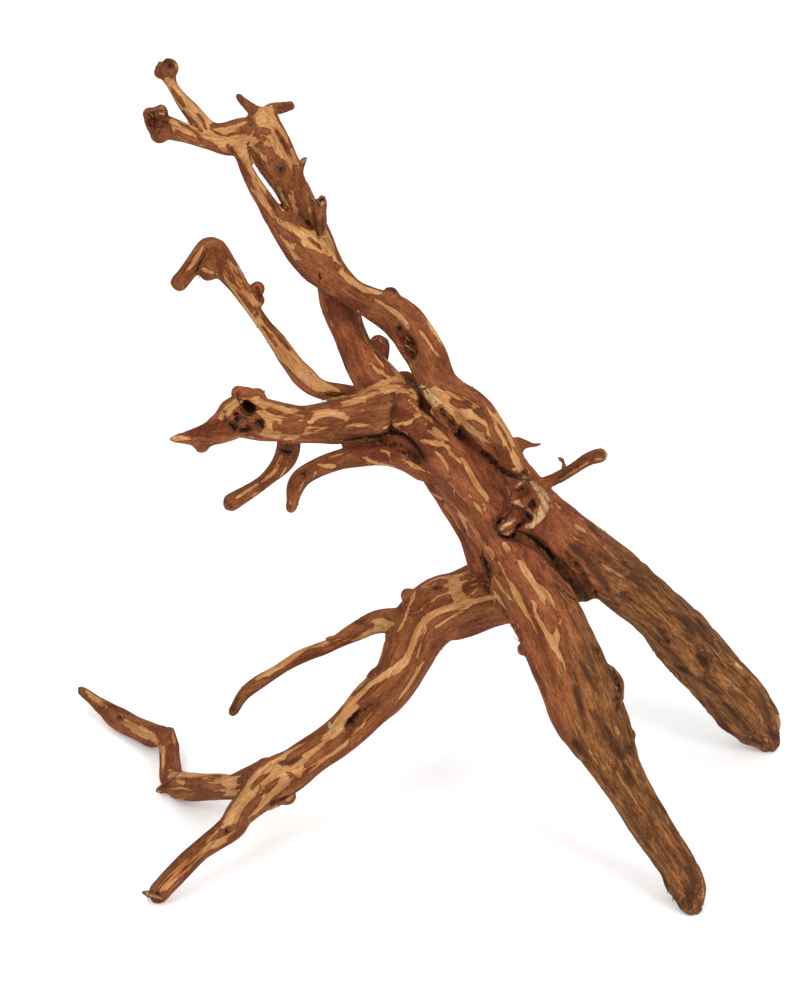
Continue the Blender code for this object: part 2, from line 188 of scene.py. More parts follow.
# The thick limbs, each a route of knots (x, y, z, radius)
THICK_LIMBS = {
    "trunk": [
        (-81, 36, 384, 7), (-75, 35, 364, 9), (-63, 34, 341, 7), (-51, 31, 317, 6.5),
        (-44, 24, 294, 8.5), (-36, 13, 275, 8), (-24, -4, 261, 11.5), (-15, -12, 252, 14),
        (-2, -16, 240, 15), (11, -16, 225, 15), (22, -15, 208, 15), (33, -13, 188, 15),
        (43, -14, 171, 15.5), (52, -20, 155, 16), (63, -28, 142, 16.5), (70, -38, 129, 16.5),
        (77, -47, 115, 17), (83, -54, 100, 17), (91, -60, 84, 15.5), (100, -68, 68, 11),
        (118, -80, 42, 10), (128, -84, 27, 10), (136, -89, 12, 9.5), (138, -94, 5, 6.5),
    ],
    "right_leg": [
        (-91, 27, 374, 3.5), (-85, 25, 357, 4.5), (-71, 22, 337, 7.5), (-55, 16, 320, 10),
        (-37, 10, 304, 6.5), (-14, 4, 293, 8.5), (-3, -2, 279, 9), (7, -14, 263, 8),
        (24, -24, 254, 8.5), (40, -24, 232, 7.5), (48, -20, 217, 7.5), (59, -14, 196, 11),
        (71, -7, 176, 14.5), (85, 0, 158, 17), (100, 8, 143, 16), (114, 14, 127, 14.5),
        (128, 21, 110, 14.5), (141, 28, 92, 15), (154, 35, 73, 15), (169, 42, 54, 15),
        (182, 48, 35, 15), (193, 53, 18, 12), (200, 54, 6, 6.5),
    ],
    "fold": [
        (-11, -1, 259, 6), (7, -9, 247, 7), (28, -14, 225, 7.5), (47, -12, 195, 8.5),
        (59, -8, 175, 10.5), (73, -2, 156, 11.5), (81, 0, 142, 10),
    ],
    "back_ridge": [
        (1, -6, 212, 5), (18, 4, 179, 6), (25, 6, 166, 6.5), (36, 6, 141, 9),
    ],
    "left_leg": [
        (47, 1, 138, 16), (33, 6, 132, 16.5), (20, 6, 126, 16), (7, 4, 122, 16),
        (-3, -2, 112, 14), (-15, -16, 91, 11), (-33, -28, 78, 10.5), (-48, -35, 66, 9),
        (-68, -46, 57, 10), (-80, -52, 52, 10.5), (-97, -62, 39, 7.5), (-102, -67, 33, 7),
        (-118, -78, 25, 5), (-132, -86, 14, 5.5), (-139, -86, 5, 5.5),
    ],
    "trailing_foot": [
        (-81, -48, 53, 9), (-93, -41, 43, 7.5), (-104, -32, 34, 6.5), (-114, -20, 26, 6.5),
        (-126, -7, 16, 7), (-136, 6, 8, 7), (-142, 19, 5, 6), (-145, 38, 11, 5.5),
        (-149, 46, 13, 5.5), (-157, 54, 10, 6), (-178, 75, 7, 6), (-203, 97, 12, 2.5),
    ],
}

# The arms and twigs that leave the thick limbs
ARMS = {
    "snake_head": [
        (-13, -20, 253, 12), (-38, -30, 253, 11), (-60, -40, 255, 9.5), (-71, -44, 258, 10),
        (-89, -50, 264, 10), (-96, -52, 260.5, 8), (-106, -54, 256.5, 5.6), (-123, -60, 257, 1),
    ],
    "head_twig": [
        (-67, -38, 250, 6.5), (-70, -34, 233, 5.5), (-81, -30, 218, 3.5), (-98, -29, 206, 4),
    ],
    "low_arm": [
        (1, -20, 222, 9), (-17, -28, 234, 8), (-38, -36, 235, 5.5), (-61, -46, 229, 4.5),
        (-67, -50, 214, 2),
    ],
    "hooked_arm": [
        (-27, -2, 251, 4.5), (-41, 3, 251, 4), (-53, 7, 252, 4.5), (-61, 9, 257, 6),
        (-69, 12, 266, 5), (-76, 16, 275, 4.5), (-84, 19, 285, 4), (-94, 23, 300, 4.5),
        (-104, 26, 314, 7), (-108, 26, 320, 6.5), (-113, 24, 317, 5.4), (-123, 16, 307, 4.5),
    ],
    "right_twig": [
        (53, -17, 206, 4.2), (62, -16, 210, 3.6), (74, -13, 216, 2.9), (82, -11, 221, 3.1),
        (89, -8, 222, 3.1),
    ],
    "club_twig": [
        (-125, 14, 417, 4.5), (-123, 15, 410, 2.4), (-120, 16, 404, 2.4), (-115, 20, 395, 3.6),
        (-107, 26, 382, 4.5),
        (-100, 29, 378, 6), (-93, 32, 377, 6.5),
    ],
    "cup_stub": [
        (-129, 6, 392, 5.5), (-108, 20, 380, 5), (-95, 30, 377, 8), (-82, 36, 381, 7.5),
    ],
    "crown_tip_left": [
        (-83, 37, 387, 4), (-87, 42, 389, 2.8), (-91, 48, 390, 2.1), (-93, 52, 391, 1.7),
    ],
    "crown_tip_right": [
        (-81, 38, 386, 3.4), (-78, 44, 387, 2.7), (-73, 52, 385, 2.6), (-68, 62, 383, 2.4),
    ],
    "crown_spike": [
        (-64, 32, 354, 3.5), (-63, 31, 359, 2), (-61, 30, 364, 1),
    ],
    "broken_stub": [
        (-54, 20, 329, 4.5), (-53, 17, 338, 4), (-53, 15, 345, 3.5), (-52, 14, 350, 3),
    ],
    "back_stub": [
        (-27, 12, 259, 5), (-25, 18, 265, 5), (-24, 22, 270, 4.5),
    ],
    "thorn": [
        (46, -19, 234, 4), (53, -19, 233, 1.6), (58, -18, 233, 0.9),
    ],
    "side_twig": [
        (-9, 0, 118, 7.5), (-24, 5, 115, 6), (-37, 6, 108, 5.5), (-51, 4, 101, 3),
        (-66, -1, 97, 3), (-79, -4, 90, 2.5), (-96, -9, 80, 2.5), (-103, -13, 70, 2),
    ],
    "twig_stub": [
        (-34, 4, 112, 4), (-41, 3, 110, 2.5), (-46, 2, 107, 1.5), (-52, 2, 106, 1),
    ],
    "knee": [
        (-145, 38, 12, 4.5), (-145, 42, 16, 4), (-145, 44, 18, 3),
    ],
    "foot_spur": [
        (-141, 9, 5, 4), (-146, 6, 5, 2), (-149, 5, 5, 1),
    ],
    "foot_curl": [
        (-140, -89, 6, 3), (-144, -91, 8, 1.5), (-147, -91, 9, 1),
    ],
    "torn_nub": [
        (48, -24, 198, 3.5), (44, -27, 194, 3.2), (40.5, -29, 191, 2.6),
    ],
}

# Small ridges that are only in this finer skin: the lip and the torn nub of the knot, the corner
# of the head's jaw, spikes and splinters, the ragged end of the fold and the flange on the
# front leg
RIDGES = {
    "lip": [
        (49, -24, 219, 1.6), (51.6, -28, 217.4, 2.4), (54.1, -29, 215.1, 2.8),
        (56.6, -30, 212.8, 3.2),
        (58.3, -30.5, 209.4, 3.6), (58.4, -30.5, 204.8, 3.6), (57, -31, 200.8, 3.2),
        (55, -32, 197.9, 2.6), (52.5, -33, 195, 2.2), (50, -33, 194.4, 1.8),
    ],
    "lip_curl": [(50.3, -30, 203.6, 1.4), (51.8, -32, 202.6, 1.5), (53.2, -32, 200.6, 1.4)],
    "loop": [(43, -26, 212, 1.5), (45, -28, 216.5, 1.8), (49, -29, 218, 1.8)],
    "brow": [(44, -27, 207, 1.8), (48, -30, 206, 2.2), (52, -31, 210, 2.0)],
    "nub": [
        (36.5, -31, 192.5, 2.2), (38.7, -34.5, 194.5, 3.0), (41.6, -35, 197, 3.2),
        (44, -33, 198.5, 2.4),
    ],
    "nub_foot": [(38, -32, 190.5, 1.8), (42, -34, 191.5, 2.2), (45, -33, 192, 1.6)],
    "jaw_corner": [(-106, -54, 254, 3.5), (-110.5, -55, 249, 1.0)],
    "spike": [
        (-65, 32, 355, 3.4), (-63.5, 31, 360, 2.8), (-61.5, 30.5, 363.5, 2.0), (-59, 30, 367, 1.0),
    ],
    "splinter": [(70, -15, 218, 1.1), (69.6, -17, 222.5, 0.9), (66.9, -18, 225.5, 0.9)],
    "torn_tongue": [
        (12, -28, 255, 2.4), (5, -26, 260, 2.2), (0, -22, 264, 1.6), (-3, -19, 266, 1.0),
    ],
    "torn_tooth": [(14, -31, 250, 2.4), (8, -31, 254, 2.0), (3, -29, 257, 1.2)],
    "flange": [
        (94, -50, 120, 2.6), (97, -49, 113, 3.6), (98, -50, 107, 3.8), (98, -53, 100, 3.6),
        (97, -57, 93, 2.6),
    ],
}

# Burls: (x, y, z, radius)
BURLS = [
    (-3, 0, 129, 8.5), (2, 2, 127, 11), (-9, -1, 135.5, 3.5), (-81, -52, 40, 5.5),
    (-74, -49, 41, 5), (-25, -15, 92, 5),
    (97, -47, 109, 4.5), (98, -49, 101, 4.5), (103, -59, 85, 5.5), (-18, 5, 304, 4),
    (-85, 20, 301, 3.5), (-84, 20, 295, 3), (-109, 24, 311, 6.5), (-87, -49, 274, 4.5),
    (-82, -47, 273, 4), (-109, -55, 252, 4), (-132, 6, 397, 3.2), (-128, 7, 388, 5),
    (-127, 7, 398, 3.4),
    (-127.5, 14, 415.5, 3.4), (-122.8, 14, 417.5, 3.4),
    (51, -18, 203, 10), (-9, -6, 281, 4), (51, -34, 122, 3), (-91, -48, 276, 3),
    (135, 25.5, 86, 8), (148, 31, 67, 6.5),
]

# Hollows where the wood has rotted out, each an egg-shaped cut:
# (place, direction along it, direction through it, half sizes along, across and through)
HOLLOWS = {
    "slit_under_crown": ((-77.5, 23, 355), (15, -5, -20), (0, 0.88, -0.47), (16, 2.0, 16)),
    "eye": ((-86, -57, 272), (1, 0, 0.2), (0, 0.8, -0.6), (3.8, 3.6, 5.5)),
    "cheek": ((-90, -61, 265), (1, 0, 0.4), (0, 1, 0), (3.6, 2.8, 3.0)),
    "jaw": ((-79, -59, 264), (0.4, 0, 1), (0, 1, 0.1), (2.6, 2.0, 2.6)),
    "cup": ((-131.5, 1.5, 397), (1, 0, 0.7), (0.35, 0.85, -0.35), (4.4, 3.4, 5.5)),
    "stub_mouth": ((-52, 13, 353), (1, 0, 0), (0, -0.1, 1), (2.2, 2.0, 5.0)),
    "club_mouth": ((-124, 13, 423), (1, 0, 0), (0, 0.2, 1), (2.4, 2.0, 2.6)),
    "knot_eye": ((51.2, -31, 199), (0.3, 0, 1), (0, 1, 0.2), (2.0, 1.3, 2.6)),
}

# Creases where limbs have grown against each other, or the bark has split, which painted shade also
# darkens:
# (half width, depth, points along it)
CREASES = {
    "under_the_strand": (3.0, 5.0, [(-1, -22, 257), (7, -22, 253), (13, -20, 246), (18, -22, 241)]),
    "under_the_lobe": (2.2, 4.0, [(26, -21, 235), (31, -26, 231), (37, -26, 223), (50, -27, 220)]),
    "head_joint": (1.6, 2.2, [(-15, -27, 263), (-16, -32, 259), (-17, -34, 253), (-17, -32, 248)]),
    "under_the_head": (2.6, 4.0, [
        (-42, -41, 246), (-33, -36, 244), (-23, -32, 243), (-17, -31, 246), (-12, -29, 243),
        (-7, -30, 238), (-3, -30, 232),
    ]),
    "between_right_legs": (2.4, 5.0, [
        (43, -28, 186), (51, -24, 183), (59, -21, 176), (66, -20, 167), (73, -18, 158),
        (80, -12, 145), (85, -8, 136),
    ]),
    "left_leg_groove": (2.6, 4.0, [(-25, -34, 88), (-29, -36, 85), (-34, -39, 82), (-39, -40, 79)]),
    "jaw_trench": (1.5, 2.4, [(-91, -60, 263), (-88, -60, 260), (-83, -59, 260), (-79, -57, 262)]),
    "root_of_head_twig": (3.0, 3.0, [(-73, -43, 241), (-67, -42, 242)]),
    "ridge_seam": (2.0, 2.5, [(12, -22, 197), (20, -17, 182), (27, -19, 172), (34, -22, 162)]),
    "arch_rot": (2.4, 2.6, [(-10, -9, 286), (-8, -10, 279)]),
}

# Marks on the wood that only the picture can tell, each a line of places in the picture with the
# mark's half width there in millimetres: (across, down, half width).
# Limbs that are mostly bare of bark
BARE_GROUND = {
    "left_leg": [
        [(350, 703, 5), (335, 742, 6), (302, 764, 7), (272, 785, 7), (246, 808, 6), (226, 832, 5),
         (192, 858, 5), (160, 886, 4)],
    ],
    "crown": [
        [(167, 80, 3), (178, 96, 3), (190, 111, 4), (203, 128, 5), (225, 140, 6), (240, 142, 6)],
        [(172, 127, 3), (190, 134, 5), (206, 140, 4)],
        [(262, 112, 4), (268, 125, 6), (274, 141, 8), (284, 156, 7), (292, 165, 5)],
        [(250, 142, 4), (262, 155, 6), (272, 168, 6), (280, 184, 5), (288, 200, 4), (294, 212, 3)],
        [(236, 138, 4), (244, 161, 5), (256, 181, 5), (266, 198, 5), (276, 212, 5)],
        [(285, 226, 5), (300, 236, 7), (312, 245, 8), (322, 250, 6)],
        [(270, 215, 4), (280, 232, 4), (290, 250, 5), (298, 258, 4)],
        [(326, 232, 4), (334, 250, 4), (340, 264, 3)],
    ],
    "hooked_arm": [
        [(220, 262, 3), (232, 272, 5), (245, 292, 6), (258, 318, 6), (275, 342, 6), (289, 357, 5),
         (302, 372, 4), (320, 386, 4)],
    ],
    "head": [
        [(262, 402, 3), (272, 412, 6), (285, 422, 8), (300, 424, 8), (320, 420, 7), (338, 418, 5)],
        [(224, 414, 3), (232, 404, 3)],
    ],
    "arm": [
        [(345, 403, 2.5), (362, 396, 3.5), (384, 386, 4), (400, 380, 3)],
    ],
    "strand": [
        [(436, 392, 2.5), (446, 398, 4.5), (458, 406, 6.5), (468, 414, 7.5), (478, 424, 7),
         (486, 436, 4.5)],
        [(490, 408, 2.5), (500, 424, 4), (508, 440, 4), (516, 454, 4), (522, 468, 3)],
    ],
    "trailing_foot": [
        [(80, 687, 3), (98, 699, 3), (128, 725, 3), (152, 737, 3), (164, 750, 2)],
        [(172, 774, 3), (190, 776, 3.5), (212, 780, 3), (234, 782, 3)],
        [(172, 731, 2), (176, 748, 1)],
    ],
    "side_twig": [
        [(392, 624, 2), (368, 634, 2.5), (345, 641, 3), (306, 648, 2), (288, 660, 2.5),
         (272, 671, 2),
         (258, 681, 1.5)],
    ],
}

# Islands of bark on bare wood
BARK_ISLANDS = {
    "left_leg": [
        [(400, 679, 0.8), (409, 672, 1.3), (417, 664, 0.5)],
        [(391, 679, 0.8), (380, 687, 1.8), (371, 692, 1.4)],
        [(322, 737, 0.6), (312, 744, 1.9), (300, 751, 1.9), (288, 757, 1.0)],
        [(352, 730, 0.8), (341, 740, 2.3), (328, 748, 2.3), (316, 757, 1.6), (306, 766, 1.2)],
        [(310, 768, 0.7), (303, 775, 0.8)],
        [(288, 772, 0.6), (294, 778, 1.4), (293, 787, 1.2), (286, 795, 1.0)],
        [(278, 779, 0.9), (271, 786, 1.9), (265, 791, 1.6)],
        [(261, 795, 0.9), (254, 803, 2.6), (248, 812, 2.8), (242, 820, 1.6)],
        [(238, 824, 0.9), (230, 829, 1.7), (222, 834, 1.5), (213, 839, 0.8)],
        [(235, 836, 1.0), (227, 842, 0.8)],
        [(186, 857, 0.5), (177, 863, 1.4), (170, 869, 1.5), (163, 876, 0.7)],
        [(156, 884, 1.0), (158, 892, 1.4)],
        [(284, 797, 1.6), (272, 803, 1.8), (264, 808, 1.4)],
        [(302, 756, 0.6), (292, 762, 1.3), (281, 763, 1.2)],
        [(324, 766, 1.8), (312, 777, 2.2), (300, 786, 1.6)],
        [(268, 774, 0.6), (262, 778, 1.2), (252, 787, 1.0)],
        [(252, 818, 1.8), (240, 830, 2.2), (228, 842, 1.6)],
        [(218, 850, 1.2), (206, 858, 1.8), (196, 866, 1.4)],
        [(208, 842, 0.6), (200, 848, 1.0), (192, 852, 0.6)],
    ],
    "crown": [
        [(158, 70, 2.8), (165, 62, 3.4), (171, 71, 2.6)],
        [(172, 89, 0.7), (178, 98, 1.2), (184, 106, 0.7)],
        [(196, 112, 0.5), (203, 121, 0.8), (206, 129, 0.5)],
        [(152, 124, 3.2), (156, 135, 3.6), (166, 139, 2.8), (165, 126, 3.0)],
        [(178, 123, 0.4), (188, 127, 0.6), (196, 133, 0.6), (203, 141, 1.2), (212, 147, 2.0),
         (218, 152, 2.0)],
        [(210, 129, 0.3), (222, 136, 0.5)],
        [(212, 126, 1.0), (222, 126, 1.2), (232, 123, 1.7), (243, 118, 2.5), (251, 113, 2.9),
         (256, 108, 1.8)],
        [(250, 120, 2.0), (253, 125, 1.5)],
        [(226, 136, 0.7), (238, 132, 0.8), (245, 128, 0.5)],
        [(254, 128, 1.0), (261, 131, 1.7), (269, 132, 1.3)],
        [(243, 133, 0.6), (252, 134, 0.6), (262, 138, 0.7), (268, 143, 0.6)],
        [(257, 145, 0.9), (263, 151, 1.4), (269, 152, 1.7), (272, 157, 1.6), (277, 160, 1.4),
         (284, 163, 1.3),
         (287, 170, 1.7), (288, 176, 2.0)],
        [(250, 149, 1.3), (254, 156, 2.1), (261, 162, 1.6), (266, 169, 1.2), (272, 176, 1.2),
         (278, 185, 1.0)],
        [(265, 163, 0.5), (272, 163, 0.6), (275, 168, 0.6)],
        [(282, 172, 1.8), (286, 180, 2.3), (287, 186, 1.6)],
        [(268, 160, 1.2), (276, 170, 2.0), (283, 181, 2.2), (288, 192, 1.4)],
        [(228, 146, 0.9), (236, 156, 1.3), (243, 168, 1.6), (250, 178, 1.2)],
        [(183, 112, 1.2), (192, 122, 1.6), (200, 130, 1.2)],
        [(176, 132, 1.0), (187, 138, 1.5), (199, 143, 1.4)],
        [(295, 168, 1.5), (297, 175, 2.6), (300, 183, 2.7), (300, 192, 3.0), (303, 202, 2.4),
         (305, 212, 1.6)],
        [(283, 190, 0.7), (288, 201, 0.8), (293, 212, 0.7)],
        [(275, 128, 0.5), (280, 137, 0.9), (285, 146, 1.3), (290, 156, 1.0)],
        [(281, 120, 0.4), (288, 134, 1.0), (292, 148, 0.7)],
        [(232, 150, 1.0), (238, 165, 1.0), (247, 181, 1.3), (251, 187, 0.8)],
        [(248, 142, 0.6), (249, 152, 0.8), (251, 160, 0.5)],
        [(255, 165, 0.4), (262, 180, 0.7), (268, 192, 1.0), (272, 203, 1.6), (278, 213, 1.6),
         (286, 219, 1.2)],
        [(258, 203, 0.9), (265, 212, 1.0), (272, 222, 1.6), (280, 230, 2.0), (288, 236, 2.2),
         (297, 240, 1.6)],
        [(266, 215, 0.6), (272, 228, 0.8), (279, 240, 2.0), (285, 250, 2.6), (290, 258, 1.8)],
        [(300, 252, 3.0), (312, 258, 4.0), (322, 262, 3.0), (316, 270, 3.5), (304, 266, 3.0),
         (294, 263, 1.5)],
        [(310, 222, 2.0), (316, 226, 2.5), (321, 232, 2.0), (322, 215, 2.6), (320, 205, 2.4)],
        [(290, 221, 0.8), (300, 224, 0.7), (308, 229, 0.6)],
        [(308, 238, 0.6), (316, 244, 0.8), (322, 250, 0.6)],
        [(324, 256, 1.5), (330, 262, 1.5), (336, 268, 2.0)],
    ],
    "hooked_arm": [
        [(229, 277, 0.6), (235, 284, 0.8)],
        [(243, 283, 0.5), (250, 292, 0.8)],
        [(236, 290, 0.4), (246, 303, 0.8), (252, 312, 0.4)],
        [(255, 307, 0.9), (257, 310, 0.8)],
        [(256, 315, 0.9), (258, 317, 0.7)],
        [(262, 309, 1.2), (266, 321, 1.0), (276, 333, 0.8), (290, 350, 0.7)],
        [(262, 326, 0.4), (276, 346, 0.6)],
        [(253, 285, 2.2), (261, 297, 2.4)],
        [(238, 300, 1.2), (246, 316, 1.6), (254, 332, 1.6), (266, 346, 1.2)],
        [(270, 318, 0.9), (280, 332, 1.2), (292, 344, 0.9)],
    ],
    "head": [
        [(288, 416, 1.3), (289, 424, 1.6), (283, 428, 2.2), (290, 432, 2.6), (298, 430, 2.6),
         (303, 424, 2.0)],
        [(275, 424, 1.2), (276, 428, 1.5)],
        [(273, 406, 0.5), (276, 413, 0.7), (275, 418, 0.6)],
        [(296, 406, 1.2), (304, 411, 1.4), (311, 414, 1.2), (306, 419, 1.2)],
        [(285, 402, 0.6), (300, 404, 0.9)],
        [(312, 410, 1.0), (318, 408, 1.2), (326, 407, 1.0), (338, 406, 0.9)],
        [(262, 396, 1.2), (272, 401, 1.5), (284, 405, 0.9)],
        [(300, 413, 1.2), (294, 419, 1.6), (297, 425, 1.8)],
        [(268, 440, 1.0), (282, 443, 1.2), (300, 444, 1.6), (318, 444, 1.4)],
        [(316, 424, 1.2), (324, 421, 1.8), (332, 421, 2.0), (342, 424, 2.2), (330, 428, 1.4),
         (340, 431, 2.2)],
        [(300, 436, 0.8), (312, 438, 1.0), (325, 437, 1.4), (340, 437, 1.8)],
    ],
    "strand": [
        [(452, 401, 1.0), (459, 404, 1.9), (467, 405, 2.1)],
        [(476, 410, 1.4), (484, 414, 2.1), (489, 419, 1.4)],
        [(471, 422, 1.3), (478, 426, 2.0), (484, 430, 1.4)],
        [(447, 417, 1.0), (451, 421, 1.2)],
        [(500, 446, 1.2), (507, 456, 1.6), (511, 466, 1.4)],
        [(506, 424, 0.9), (514, 440, 1.3), (521, 454, 0.9)],
        [(498, 424, 0.5), (505, 437, 0.8), (512, 450, 0.7)],
        [(514, 448, 0.5), (521, 461, 0.8), (527, 472, 0.7)],
        [(494, 432, 0.6), (501, 443, 0.8)],
        [(489, 423, 0.9), (492, 432, 1.4), (494, 439, 0.9)],
        [(486, 436, 0.9), (491, 441, 0.9)],
        [(483, 398, 1.4), (492, 410, 1.6)],
    ],
    "trailing_foot": [
        [(110, 709, 1.7), (118, 717, 1.8)],
        [(125, 714, 1.2), (139, 722, 1.0)],
        [(168, 747, 1.4), (170, 764, 1.3)],
    ],
    "side_twig": [
        [(303, 656, 0.9), (312, 653, 1.2), (320, 651, 0.9)],
        [(290, 666, 0.6), (275, 673, 0.5)],
        [(265, 678, 0.7), (255, 684, 1.0), (246, 692, 1.2)],
        [(365, 612, 1.2), (375, 611, 1.4)],
    ],
}

